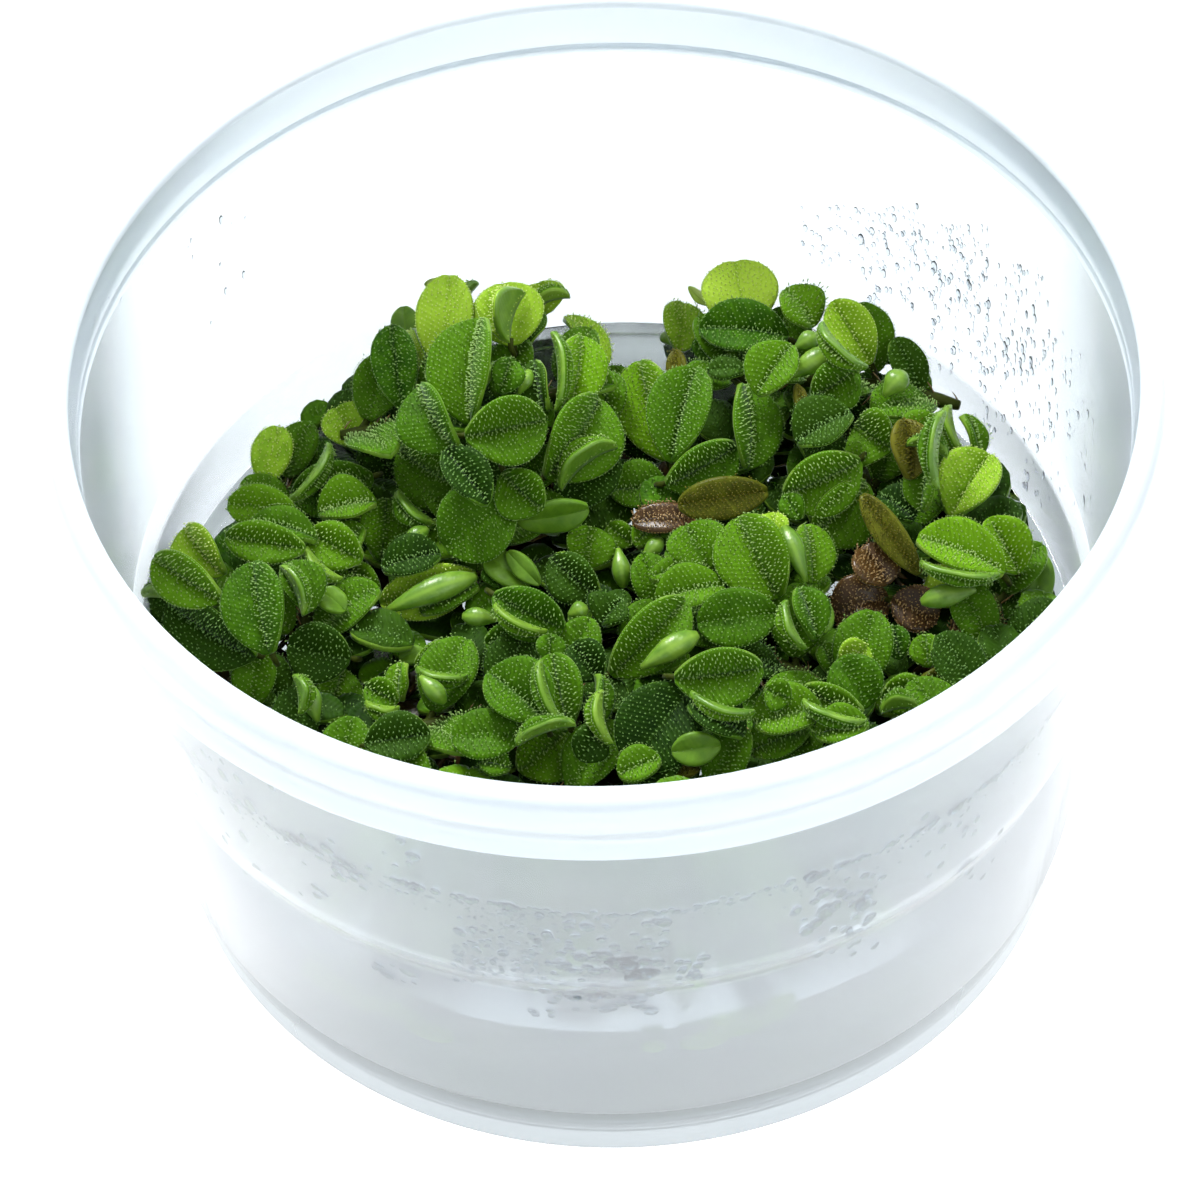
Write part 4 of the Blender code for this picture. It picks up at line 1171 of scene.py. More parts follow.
# %% Rows of small leaves
SMALL = [Row(*row) for row in (  # Left
    (266, 486, 280, 428, 3.6, -20, 15, 10, "light"),
    (283, 494, 316, 437, 4.6, -25, 0, 25, "mid"),
    (288, 502, 329, 443, 1.6, 0, 0, 0, "strip"),
    (362, 448, 338, 408, 5.0, -10, 0, 15, "light"),
    (372, 432, 366, 404, 3.0, 0, 0, 10, "light"),
    (385, 398, 364, 376, 3.0, 0, 0, 10, "light"),
    (295, 512, 228, 505, 4.0, 0, 10, 10, "mid"), (376, 500, 318, 512, 4.6, 0, 0, 28, "mid"),
    (222, 578, 185, 530, 5.0, -10, 0, 25, "light"),
    (305, 552, 225, 540, 3.8, 0, 10, 15, "mid"),
    (318, 540, 252, 522, 3.4, 0, 5, 20, "mid"), (222, 612, 140, 595, 2.0, 0, 0, 0, "strip"),
    (200, 655, 132, 602, 5.0, -10, -10, 12, "dark"),
    (312, 612, 288, 563, 4.4, 5, 0, 15, "mid"), (304, 616, 281, 566, 1.4, 0, 0, 0, "strip"),
    (362, 562, 308, 535, 4.6, 0, 0, 15, "mid"), (343, 580, 306, 547, 1.6, 0, 0, 0, "strip"),
    (378, 605, 345, 568, 4.2, 0, 0, 12, "mid"), (368, 612, 345, 632, 3.6, 0, 0, 30, "mid"),
    (345, 612, 320, 592, 2.6, 0, 0, 10, "under"),
    (240, 662, 288, 705, 5.2, 0, 0, 14, "dark"),
    (318, 722, 306, 684, 2.2, 0, 0, 0, "pod"), (300, 715, 294, 675, 1.6, 0, 0, 0, "strip"),
    (325, 728, 345, 669, 4.6, 5, 0, 25, "mid"), (398, 704, 365, 688, 3.2, 0, 0, 28, "mid"),
    (400, 702, 404, 663, 2.8, -20, 0, 15, "mid"),
    (400, 708, 365, 702, 1.4, 0, 0, 0, "strip"),
    (338, 742, 352, 730, 1.6, 0, 0, 10, "light"),
    # Back left dome
    (545, 315, 538, 284, 5.0, 0, 0, 10, "light"),
    (531, 310, 570, 296, 1.4, 0, 0, 0, "strip"),
    (517, 356, 538, 318, 4.2, 0, 25, 15, "dark"),
    (606, 366, 566, 318, 3.4, 10, 20, 10, "light"),
    (600, 430, 606, 372, 4.2, 15, 0, 15, "mid"),
    (556, 412, 552, 332, 1.3, 0, 0, 0, "strip"),
    (500, 395, 512, 360, 3.2, 0, 0, 28, "mid"), (519, 394, 530, 370, 1.8, 0, 0, 0, "pod"),
    (546, 412, 535, 362, 3.4, -20, 0, 20, "dark"),
    (468, 426, 501, 362, 1.4, 0, 0, 0, "strip"),
    (455, 334, 478, 282, 1.4, 0, 0, 0, "strip"),
    (433, 388, 412, 332, 4.4, -35, 0, 20, "light"),
    (408, 348, 404, 307, 2.8, 0, 0, 10, "under"),
    (410, 440, 385, 415, 4.0, 0, 0, 12, "dark"),
    (395, 488, 374, 430, 4.4, 0, 0, 15, "dark"),
    (560, 490, 617, 446, 2.2, 0, 0, 0, "strip"),
    (556, 500, 620, 460, 4.4, 0, -30, 10, "dark"),
    (448, 450, 490, 503, 4.0, -15, 0, 25, "dark"),
    (438, 525, 398, 490, 2.0, 0, 0, 0, "strip"),
    (384, 562, 390, 500, 5.4, -5, 0, 12, "mid"),
    (445, 278, 412, 261, 1.1, 0, 0, 0, "wisp"), (708, 305, 690, 287, 0.9, 0, 0, 0, "wisp"),
    # Back right mound
    (680, 352, 684, 305, 4.2, 0, 22, 10, "light"),
    (672, 345, 662, 333, 1.4, 0, 0, 0, "pod"),
    (682, 395, 676, 350, 2.0, 0, 0, 8, "olive"), (740, 352, 692, 345, 3.0, 0, 0, 10, "mid"),
    (745, 370, 708, 372, 2.4, 0, 0, 10, "dark"), (790, 345, 755, 395, 5.0, 5, 0, 12, "mid"),
    (812, 328, 785, 290, 5.2, 10, 0, 10, "mid"), (795, 348, 818, 335, 2.0, 0, 0, 0, "pod"),
    (868, 368, 822, 322, 2.0, 0, 0, 0, "strip"),
    (878, 362, 852, 310, 4.0, 30, 0, 15, "mid"),
    (796, 385, 802, 415, 1.2, 0, 0, 8, "olive"),
    (850, 412, 795, 442, 5.4, 0, 0, 15, "dark"),
    (918, 392, 893, 339, 3.4, 35, 0, 10, "dark"),
    (900, 362, 882, 345, 2.6, 0, 0, 15, "mid"),
    (884, 396, 905, 372, 2.6, 0, 0, 0, "pod"), (925, 402, 908, 375, 3.2, 0, 0, 20, "mid"),
    (912, 480, 905, 420, 4.0, 0, 0, 12, "olive"),
    (905, 445, 936, 418, 3.6, 0, 0, 25, "mid"),
    (906, 444, 948, 456, 1.4, 0, 0, 0, "strip"),
    (938, 490, 945, 412, 1.8, 0, 0, 0, "strip"),
    (920, 415, 896, 412, 2.2, 0, 0, 10, "under"),
    (965, 456, 950, 405, 1.8, 0, 0, 0, "strip"),
    (978, 460, 962, 415, 2.6, 30, 0, 15, "mid"),
    (930, 465, 920, 512, 3.4, -10, 0, 20, "mid"),
    (920, 575, 862, 495, 2.8, 0, 0, 8, "olive"),
    (915, 520, 878, 495, 4.0, 0, 0, 12, "dark"),
    (768, 492, 678, 506, 4.0, 0, 0, 8, "olive"),
    (700, 520, 632, 522, 3.2, 0, 0, 8, "brown"),
    (800, 520, 785, 495, 2.5, 0, 0, 12, "mid"),
    (662, 462, 620, 400, 4.0, -20, 0, 15, "dark"),
    # Middle and front
    (400, 550, 428, 528, 2.0, 0, 0, 0, "pod"),
    (382, 568, 440, 552, 4.0, 0, -10, 12, "dark"),
    (384, 612, 476, 576, 2.8, 0, 0, 0, "pod"), (478, 585, 420, 612, 3.4, 0, 0, 15, "mid"),
    (528, 588, 484, 555, 3.2, 0, 0, 8, "under"),
    (540, 585, 508, 552, 2.0, 0, 0, 8, "under"),
    (500, 585, 485, 568, 2.4, 0, 0, 12, "mid"), (548, 632, 494, 604, 1.4, 0, 0, 0, "strip"),
    (498, 620, 462, 616, 2.0, 0, 0, 0, "pod"), (538, 640, 484, 645, 3.6, 0, 0, 20, "mid"),
    (548, 664, 552, 635, 2.8, 0, 0, 12, "mid"), (585, 570, 592, 528, 4.8, 0, 0, 12, "mid"),
    (598, 600, 550, 560, 4.4, 0, 0, 12, "dark"), (618, 548, 624, 588, 2.0, 0, 0, 0, "pod"),
    (568, 615, 588, 608, 2.0, 0, 0, 0, "pod"), (415, 668, 468, 658, 4.0, 0, 0, 15, "mid"),
    (416, 668, 468, 676, 1.4, 0, 0, 0, "strip"),
    (425, 652, 400, 660, 2.0, 0, 0, 8, "under"),
    (420, 676, 445, 703, 2.0, 0, 0, 0, "pod"), (566, 730, 540, 660, 1.4, 0, 0, 0, "strip"),
    (592, 728, 598, 675, 2.6, 40, 0, 15, "mid"), (520, 735, 452, 738, 4.8, 0, -5, 8, "mid"),
    (575, 728, 520, 775, 5.4, 0, 0, 15, "mid"), (576, 724, 516, 745, 1.4, 0, 0, 0, "strip"),
    (598, 728, 580, 760, 3.4, 0, 0, 10, "dark"), (510, 768, 480, 762, 3.0, 0, 0, 12, "mid"),
    (600, 680, 572, 645, 4.2, 0, 0, 12, "dark"),
    (600, 625, 620, 600, 4.4, 0, 0, 12, "dark"),
    (634, 546, 607, 526, 2.6, 0, 0, 20, "mid"), (634, 546, 656, 524, 2.6, 0, 0, 20, "mid"),
    (643, 562, 662, 538, 1.8, 0, 0, 0, "pod"), (712, 572, 690, 525, 5.4, -20, 0, 15, "mid"),
    (712, 572, 665, 552, 3.4, 0, 0, 20, "mid"), (725, 585, 655, 600, 4.6, 0, 0, 12, "mid"),
    (690, 572, 650, 578, 2.4, 0, 0, 12, "mid"),
    (772, 545, 775, 514, 3.4, 0, 0, 12, "light"),
    (806, 582, 784, 526, 2.2, 0, 0, 0, "pod"), (812, 585, 805, 525, 4.4, 15, 0, 12, "mid"),
    (822, 590, 818, 522, 3.4, 35, 0, 12, "mid"), (641, 668, 698, 634, 2.6, 0, 0, 0, "pod"),
    (745, 735, 690, 702, 4.4, 0, 0, 12, "dark"),
    (690, 692, 755, 712, 1.4, 0, 0, 0, "strip"),
    (818, 640, 800, 588, 3.4, 0, 0, 30, "mid"), (806, 650, 786, 600, 1.4, 0, 0, 0, "strip"),
    (828, 632, 805, 608, 3.4, 0, 0, 8, "under"), (765, 690, 790, 700, 3.0, 0, 0, 12, "mid"),
    (822, 708, 752, 722, 5.2, 0, 0, 12, "mid"), (808, 728, 748, 752, 4.4, 0, 0, 12, "mid"),
    (868, 722, 815, 735, 4.0, 0, 0, 12, "mid"), (866, 722, 802, 700, 1.4, 0, 0, 0, "strip"),
    (862, 716, 802, 690, 3.4, 0, 0, 20, "mid"), (838, 660, 872, 705, 5.2, 0, 0, 8, "mid"),
    (840, 668, 868, 648, 3.6, 0, 0, 12, "light"),
    (835, 675, 822, 645, 3.0, 0, 0, 20, "mid"),
    (720, 745, 672, 752, 3.0, 0, 0, 8, "under"),
    (712, 768, 750, 730, 2.0, 0, 0, 8, "brown"),
    (700, 770, 675, 756, 4.0, 0, 0, 10, "olive"),
    (660, 758, 618, 775, 3.6, 0, 0, 12, "mid"),
    (612, 745, 602, 690, 1.6, 0, 0, 0, "strip"), (605, 775, 598, 735, 2.0, 0, 0, 12, "mid"),
    # Right
    (888, 585, 862, 548, 5.0, 0, 0, 8, "brown"),
    (1000, 575, 920, 562, 1.4, 0, 0, 0, "strip"),
    (1032, 612, 1034, 550, 3.4, 30, 0, 8, "under"),
    (1028, 605, 985, 588, 5.4, 0, 0, 10, "mid"),
    (978, 588, 920, 600, 4.4, 0, 0, 28, "light"), (976, 590, 921, 602, 2.4, 0, 0, 0, "pod"),
    (900, 660, 893, 627, 2.8, 0, 0, 12, "mid"), (928, 668, 925, 635, 3.0, 0, 0, 12, "mid"),
    (955, 672, 962, 647, 2.8, 0, 0, 12, "mid"), (928, 690, 882, 700, 3.8, 0, 0, 12, "mid"),
    (918, 706, 880, 712, 1.6, 0, 0, 0, "strip"),
    (950, 668, 915, 690, 1.8, 0, 0, 8, "olive"),
    (1005, 640, 950, 625, 5.0, 0, 0, 10, "brown"),
)]
print(len(SMALL), "rows of small leaves")

# %% [markdown]
# ## The plants
# A salvinia plant is a floating rhizome with leaves in pairs, and under each pair a third leaf
# that has become a brown feather of roots. Each plant is one piece: its rhizome, roots and own
# leaves where its solid has them, and the small leaves and stems that lie near it.

# %% The rhizomes and their leaves
RHIZOME_RADIUS = 0.85  # mm
RHIZOME_LENGTH = 24.0  # mm
RHIZOME_STEPS = 4
PLANT_LEAF = (8.0, 6.6)  # mm
STALK_LENGTH = 1.6  # mm, of which the leaf's base covers two fifths
PAIR_PLACES = (-0.42, -0.14, 0.16, 0.45)  # shares of the rhizome, from its middle
SAME_LEAF = 0.7  # mm from its tip to the solid's, at most
Plant = namedtuple("Plant", "x y z heading bend roots")
PLANTS = (
    Plant(-31, 12, 23.4, 100, 30, 1), Plant(-30, -17, 23.4, 130, -25, 1),
    Plant(-9, -8, 23.4, 20, 30, 1), Plant(-12, -35, 23.4, 165, -25, 1),
    Plant(20, -34, 23.4, 30, 20, 1), Plant(37, -8, 23.4, 80, 30, 1),
    Plant(15, -3, 23.4, 150, 25, 1), Plant(-9, 23, 23.4, 60, -30, 1),
    Plant(26, 22, 23.4, 110, 30, 1), Plant(4, -21, 23.4, 5, 30, 1),
    Plant(-15, 25, 30.0, 15, 25, 0), Plant(25, 28, 30.0, 170, 25, 0),
)


def rhizome_points(plant):
    """The bent line of a plant's rhizome, in mm."""
    points = [Vector((0, 0, 0))]
    for i in range(RHIZOME_STEPS):
        angle = math.radians(plant.heading + plant.bend * (i / RHIZOME_STEPS - 0.5))
        step = Vector((math.cos(angle), math.sin(angle), 0)) * RHIZOME_LENGTH / RHIZOME_STEPS
        points.append(points[-1] + step)
    middle = points[RHIZOME_STEPS // 2]
    return [point - middle + Vector((plant.x, plant.y, plant.z)) for point in points]


def along_rhizome(plant, share):
    """The point and heading at a share of the rhizome, from -0.5 to 0.5."""
    points = rhizome_points(plant)
    place = (share + 0.5) * (len(points) - 1)
    i = min(int(place), len(points) - 2)
    return points[i].lerp(points[i + 1], place - i), (points[i + 1] - points[i]).normalized()


def add_plant_leaves(piece, plant, node, number):
    """The leaves in pairs that the plant's solid has."""
    solid = np.array([vertex.co for vertex in bpy.data.objects[node].data.vertices]) / MM
    length, width = PLANT_LEAF
    for i, share in enumerate(PAIR_PLACES):
        point, heading = along_rhizome(plant, share)
        side = heading.cross(Vector((0, 0, 1)))
        for sign in (-1, 1):
            spread = math.radians(62 - 7 * i + 6 * sign)
            rise = math.radians(24 + 7 * ((i + (sign > 0)) % 3))
            flat = heading * math.cos(spread) + side * sign * math.sin(spread)
            along = flat * math.cos(rise) + Vector((0, 0, math.sin(rise)))
            normal = Vector((0, 0, math.cos(rise))) - flat * math.sin(rise)
            size = 1.0 - 0.08 * i
            base = point + flat * RHIZOME_RADIUS * 0.9 + along * STALK_LENGTH * 0.6
            tip = np.array(base + along * length * size)
            if np.linalg.norm(solid - tip, axis=1).min() > SAME_LEAF:
                continue
            matrix = frame_of(base * MM, along, normal)
            form = Form(length * size, width * size, 16, 14, 0.08 * length, 0.15, i + sign)
            kind = "mid" if plant.z > 28 or (i + sign) % 3 else "dark"
            add_leaf(piece, matrix, form, kind, 0.3, number * 10 + i * 2 + sign, small_blank)
            crowd.add(coarse_leaf(matrix, form), coarse_blank.quads)
            stalk = [point, point.lerp(base, 0.6), base + along * 0.4]
            add_tube(piece, stalk, (0.5, 0.4, 0.36), "stem")


print(len(PLANTS), "plants,", sum(plant.roots for plant in PLANTS), "of them with roots")

# %% [markdown]
# ## The roots
# What hangs in the water like roots are leaves that became threads. A feather of them hangs from
# the middle of the rhizome, others trail sideways under the surface, and the rhizome itself is
# hairy all round. Each is a thin tube, thinnest at its end.

# %% Root hairs and whole plants
ROOT_LENGTH = 10.0  # mm
FEATHER_HAIRS = 16
TRAILING_HAIRS = 44
SHORT_HAIRS = 30
ROOT_LIMIT = 43.0  # mm from the cup's axis
RHIZOME_RINGS = 13
ROOT_SEED = 900


def add_roots(piece, plant, random_numbers):
    """A feather of root hairs that hangs in the water, and hairs along the rhizome."""
    if plant.roots:
        top, _ = along_rhizome(plant, 0.02)
        for _ in range(FEATHER_HAIRS):
            turn = random_numbers.uniform(0, math.tau)
            out = random_numbers.uniform(0.3, 1.5)
            deep = ROOT_LENGTH * random_numbers.uniform(0.6, 0.98)
            shares = np.linspace(0, 1, 6)
            swing = out * np.sin(shares * 2.6) + 0.1
            line = np.column_stack([top.x + np.cos(turn + shares) * swing,
                                    top.y + np.sin(turn + shares) * swing, top.z - shares * deep])
            add_tube(piece, line, np.linspace(0.16, 0.07, 6), "root", 4, random_numbers.uniform())
    for share in np.linspace(-0.48, 0.48, TRAILING_HAIRS if plant.roots else 0):
        point, _ = along_rhizome(plant, share)
        turn = random_numbers.uniform(0, math.tau)
        shares = np.linspace(0, 1, 5)
        far = random_numbers.uniform(5.0, 10.0) * shares
        line = np.column_stack([point.x + np.cos(turn + 0.8 * shares) * far,
                                point.y + np.sin(turn + 0.8 * shares) * far,
                                point.z - 1.5 - random_numbers.uniform(1.0, 4.0) * shares ** 0.5])
        far_out = np.hypot(line[:, 0], line[:, 1])
        line[:, :2] *= np.minimum(1.0, ROOT_LIMIT / far_out)[:, None]
        add_tube(piece, line, (0.3, 0.34, 0.3, 0.22, 0.08), "root", 5, random_numbers.uniform())
    for share in np.linspace(-0.48, 0.48, SHORT_HAIRS):
        point, heading = along_rhizome(plant, share)
        turn = random_numbers.uniform(0, math.tau)
        side = heading.cross(Vector((0, 0, 1)))
        out = side * math.cos(turn) + Vector((0, 0, 1)) * math.sin(turn)
        far = random_numbers.uniform(1.4, 2.4)
        line = [point + out * 0.7, point + out * (far * 0.7) + heading * 0.3,
                point + out * far + heading * 0.8]
        add_tube(piece, line, (0.1, 0.08, 0.05), "root", 4, random_numbers.uniform())


plant_pieces = []
for number, plant in enumerate(PLANTS, 1):
    node = f"plant_{number:02d}"
    piece = Piece("whole_" + node)
    line = [along_rhizome(plant, share)[0] for share in np.linspace(-0.5, 0.499, RHIZOME_RINGS)]
    girth = [RHIZOME_RADIUS * (0.6 if i in (0, RHIZOME_RINGS - 1) else 1.0 - 0.12 * (i % 2))
             for i in range(RHIZOME_RINGS)]
    add_tube(piece, line, girth, "stem", 8)
    add_plant_leaves(piece, plant, node, number)
    add_roots(piece, plant, np.random.default_rng(number + ROOT_SEED))
    plant_pieces.append(piece)
print("placed", len(crowd.trees), "leaves so far")

# %% [markdown]
# ## Laying the small leaves
# A small leaf is laid in its plane by its row, like a large one, and slid along its line of sight
# until it is clear of what was placed before it. Strips, pods and wisps go towards the eye, so
# that they show, and the others away from it, behind their neighbours. A leaf that finds no room
# within its steps goes the other way. Each joins the plant that lies nearest.

# %% Lay the small leaves by their rows
FIRST_SMALL = 200  # the seed of the first small leaf
MOST_STEPS = 24
STEPS_UP = 12  # for what goes towards the eye


def nearest_plant(point):
    """The piece of the plant that lies nearest a point in mm."""
    away = [math.hypot(point[0] - p.x, point[1] - p.y) + abs(point[2] - p.z) * 0.5 for p in PLANTS]
    return plant_pieces[away.index(min(away))]


stuck = []
for number, row in enumerate(SMALL, FIRST_SMALL):
    matrix, length = leaf_matrix(row)
    own = np.random.default_rng(number)
    form = leaf_form(row, length, number)
    if row.kind == "strip":
        form, matrix = nearly_closed(form, matrix, row.width, own.choice((-1, 1)))
    elif row.kind != "pod":
        form = form._replace(width=form.width * 1.08)
        form, matrix = rolled(form, matrix, own.choice((-1, 1)) * own.uniform(12, 28))
    towards = np.array((EYE - matrix.translation).normalized())
    narrow = row.kind in ("pod", "strip", "wisp")
    here = coarse_leaf(matrix, form, 1.2 if row.kind == "pod" else 0.5)
    first, second = (towards, -towards) if narrow else (-towards, towards)
    slide = crowd.slide(here, coarse_blank.quads, first, STEPS_UP if narrow else MOST_STEPS)
    way = first
    if slide is None:
        slide = crowd.slide(here, coarse_blank.quads, second, MOST_STEPS)
        way = second
    if slide is None:
        stuck.append(number - FIRST_SMALL)
        slide, way = 0.0, first
    matrix = Matrix.Translation(Vector(way * slide * MM)) @ matrix
    piece = nearest_plant(middle_of(here))
    tint = own.uniform(0.0, 0.6)
    if row.kind == "pod":
        add_pod(piece, matrix, length, row.width, tint)
    else:
        kind = "mid" if row.kind == "strip" else row.kind
        # A small underside keeps a low tint: its darker green is painted shade.
        tint = 0.15 if kind == "under" else 1.0 if kind == "wisp" else tint
        below = own.choice(("bud", "bud", "under")) if row.kind == "strip" else None
        add_leaf(piece, matrix, form, kind, tint, number, small_blank, below=below)
    crowd.add(here + way * slide, coarse_blank.quads)
print("rows that found no room:", stuck)

# %% [markdown]
# ## Leaves against the wall
# Through the front wall a few leaves show as green smears along the water's edge. They float
# against the wall with their smooth undersides outwards.

# %% Leaves against the front wall
WallLeaf = namedtuple("WallLeaf", "u v length width tilt")
WALL_LEAVES = (
    WallLeaf(322, 972, 5.0, 4.2, 20), WallLeaf(350, 990, 6.0, 3.6, -8),
    WallLeaf(392, 1006, 7.0, 3.0, 4), WallLeaf(430, 1028, 5.0, 3.2, 5),
    WallLeaf(653, 1044, 2.2, 2.0, 0), WallLeaf(704, 1038, 4.6, 3.0, 6),
    WallLeaf(738, 1024, 6.0, 3.2, -6), WallLeaf(778, 1010, 4.0, 2.6, 12),
)
FIRST_AT_WALL = 700  # the seed of the first of them
TOUCHING = 0.75  # mm from the wall to the middle of a leaf
for number, wall_leaf in enumerate(WALL_LEAVES, FIRST_AT_WALL):
    point = Vector(wall_point(wall_leaf.u, wall_leaf.v, True))
    out = Vector((point.x, point.y, 0)).normalized()
    tilt = math.radians(wall_leaf.tilt)
    along = out.cross(Vector((0, 0, -1))) * math.cos(tilt) + Vector((0, 0, math.sin(tilt)))
    matrix = frame_of((point - along * wall_leaf.length / 2 - out * TOUCHING) * MM, along, -out)
    form = Form(wall_leaf.length, wall_leaf.width, 0, 6, -0.15, 0.1, number)
    add_leaf(nearest_plant(point), matrix, form, "light", 0.9, number, small_blank, 0, "light")
    crowd.add(coarse_leaf(matrix, form), coarse_blank.quads)
    print("wall leaf at", round(point.z, 1), "mm")

# %% [markdown]
# ## Leaves that fill the rest
# Under the visible leaves lie older ones near the water, and the front rim hides part of the heap
# from the eye. There are three layers: old leaves under the water, middling ones above it and
# small ones about its surface. A leaf is laid nearly flat at a seeded place, and stays if it
# touches nothing. Two gaps, at the back and at the left, show open water and are left free.

# %% Place a filler
FILLED_RADIUS = 45.0  # mm from the cup's axis
FILLER_LIMIT = 45.6  # mm, the furthest point of a filler
FLOATING = 23.0  # mm, the height at which a filler looks for its plant
OPEN_WATER = ((4.0, 38.0, 12.0), (-42.0, 24.0, 11.0))  # x, y and radius in mm of the gaps
random_numbers = np.random.default_rng(41)


def filler(number, lowest_rise, highest_rise, shortest, longest):
    """A leaf with a seeded place, turn, size and bend, or None where it doesn't fit in."""
    radius = FILLED_RADIUS * math.sqrt(random_numbers.uniform())
    turn = random_numbers.uniform(0, math.tau)
    heading = random_numbers.uniform(0, math.tau)
    rise = math.radians(random_numbers.uniform(lowest_rise, highest_rise))
    length = random_numbers.uniform(shortest, longest)
    form = Form(length, length * random_numbers.uniform(0.72, 0.95),
                random_numbers.uniform(3, 22), random_numbers.uniform(8, 20), 0.08 * length, 0.15,
                number)
    middle = Vector((radius * math.cos(turn), radius * math.sin(turn), 0))
    flat = Vector((math.cos(heading), math.sin(heading), 0))
    along = flat * math.cos(rise) + Vector((0, 0, math.sin(rise)))
    normal = Vector((0, 0, math.cos(rise))) - flat * math.sin(rise)
    matrix = frame_of((middle - flat * length / 2) * MM, along, normal)
    here = coarse_leaf(matrix, form)
    outside = np.hypot(here[:, 0], here[:, 1]).max() > FILLER_LIMIT
    open_there = any(math.hypot(middle.x - x, middle.y - y) < gap for x, y, gap in OPEN_WATER)
    return None if outside or open_there else (matrix, form, here, middle)


def seen_share(points):
    """How many of some points in mm the eye sees through the mouth of the cup, as a share."""
    eye = np.array(EYE) / MM
    way = points - eye
    at_rim = eye + way * ((CUP_HEIGHT / MM - eye[2]) / way[:, 2])[:, None]
    return (np.hypot(at_rim[:, 0], at_rim[:, 1]) < MOUTH_RADIUS / MM).mean()


def keep_filler(matrix, form, here, lift, middle, kinds, number, kept):
    """Add a filler to the nearest plant, lifted by so many mm."""
    kind = str(random_numbers.choice(kinds))
    matrix = Matrix.Translation((0, 0, lift * MM)) @ matrix
    owner = nearest_plant((middle.x, middle.y, FLOATING))
    add_leaf(owner, matrix, form, kind, random_numbers.uniform(0, 0.6), number, low_blank, kept)
    crowd.add(here + (0, 0, lift), coarse_blank.quads)


print("a filler stays within", FILLER_LIMIT, "mm of the cup's axis")

# %% [markdown]
# ## The three layers
# Each layer has how many leaves are tried, between which heights their lowest points lie, how long
# they are, what share of their papillae they keep, as they hardly show, and their kinds.

# %% Lay the three layers
Layer = namedtuple("Layer", "tries low high shortest longest kept kinds")
# The dark kinds stand partly for older leaves and partly for painted shade deep in the heap.
LAYERS = (
    Layer(1200, 16.5, 19.5, 6.0, 9.0, 0.0, ("dark", "dark", "dark", "brown")),
    Layer(1500, 21.8, 25.5, 5.0, 8.0, 0.4, ("dark", "dark", "mid", "mid", "dark")),
    Layer(1200, 19.8, 24.5, 3.2, 5.0, 0.3, ("dark", "dark", "mid", "dark")),
)
LAYER_SEED = 1000
low_leaves = 0
for layer in LAYERS:
    for number in range(layer.tries):
        found = filler(number, 0, 14, layer.shortest, layer.longest)
        if found is None:
            continue
        matrix, form, here, middle = found
        lift = random_numbers.uniform(layer.low, layer.high) - here[:, 2].min()
        if not crowd.touches(here + (0, 0, lift), coarse_blank.quads):
            keep_filler(matrix, form, here, lift, middle, layer.kinds, LAYER_SEED + number,
                        layer.kept)
            low_leaves += 1
print(low_leaves, "low leaves")

# %% [markdown]
# ## Leaves behind the front rim
# The eye doesn't see this part of the heap, but a view from above does. Here a leaf starts above
# the heap and falls by small steps until it would touch something or reaches the water. A leaf
# that the eye would see through the mouth of the cup is left out.

# %% Let leaves fall behind the front rim
FALLEN_SEED = 4000
FALL_FROM = 29.0  # mm
FALL_TO = 22.0  # mm
FALL_STEP = 0.5  # mm
HIDDEN_SIDE = -18  # y in mm, in front of which the rim hides the heap
MOST_SEEN = 0.1  # the share of a leaf that may show
fallen_leaves = 0
for number in range(500):
    found = filler(number, 5, 42, 6.0, 9.5)
    if found is None or found[3].y > HIDDEN_SIDE:
        continue
    matrix, form, here, middle = found
    lowest = here[:, 2].min()
    lift = FALL_FROM - lowest
    if seen_share(here + (0, 0, lift)) > MOST_SEEN:
        continue
    if crowd.touches(here + (0, 0, lift), coarse_blank.quads):
        continue
    while lift + lowest > FALL_TO and not crowd.touches(
            here + (0, 0, lift - FALL_STEP), coarse_blank.quads):
        lift -= FALL_STEP
    keep_filler(matrix, form, here, lift, middle, ("mid", "dark", "dark"),
                FALLEN_SEED + number, 0.5)
    fallen_leaves += 1
print(fallen_leaves, "fallen leaves")

# %% [markdown]
# ## The last gaps
# What is left are gaps through which the eye would see the bright table below the cup. To find
# them, lines of sight are sent down within the outline of the heap, against one search tree of all
# leaves and stems. The papillae are left out of it, because they don't close a gap.

# %% Lines of sight within the heap
HEAP_OUTLINE = (
    (128, 600), (150, 552), (190, 522), (232, 502), (255, 440), (300, 415), (335, 400), (362, 370),
    (392, 330), (410, 285), (445, 268), (540, 285), (575, 360), (610, 405), (655, 400), (675, 350),
    (700, 285), (760, 270), (830, 300), (870, 322), (900, 345), (925, 385), (955, 420), (985, 455),
    (995, 520), (1032, 560), (1035, 620), (985, 680), (880, 740), (700, 790), (500, 790),
    (300, 745), (180, 660),
)


def in_outline(u, v, outline):
    """Whether a pixel lies inside a closed outline."""
    inside = False
    for (u0, v0), (u1, v1) in zip(outline, outline[1:] + outline[:1]):
        if (v0 > v) != (v1 > v) and u < u0 + (v - v0) / (v1 - v0) * (u1 - u0):
            inside = not inside
    return inside


def skins_of(pieces):
    """One search tree, in mm, of the leaves and stems of some pieces, without their papillae."""
    points, faces, count = [], [], 0
    for part in (part for piece in pieces for part in piece.parts):
        if part.finish[0] != FINISHES.index("papilla"):
            points.append(part.points / MM)
            faces.append(part.faces + count)
            count += len(part.points)
    faces = [tuple(dict.fromkeys(row)) for row in np.concatenate(faces).tolist()]
    return BVHTree.FromPolygons(np.concatenate(points).tolist(), faces)


def meets_leaf(start, way, far):
    """Whether a line of some mm from a point in mm meets a leaf."""
    return any(tree.ray_cast(start.tolist(), way.tolist(), far)[0] for tree in skins)


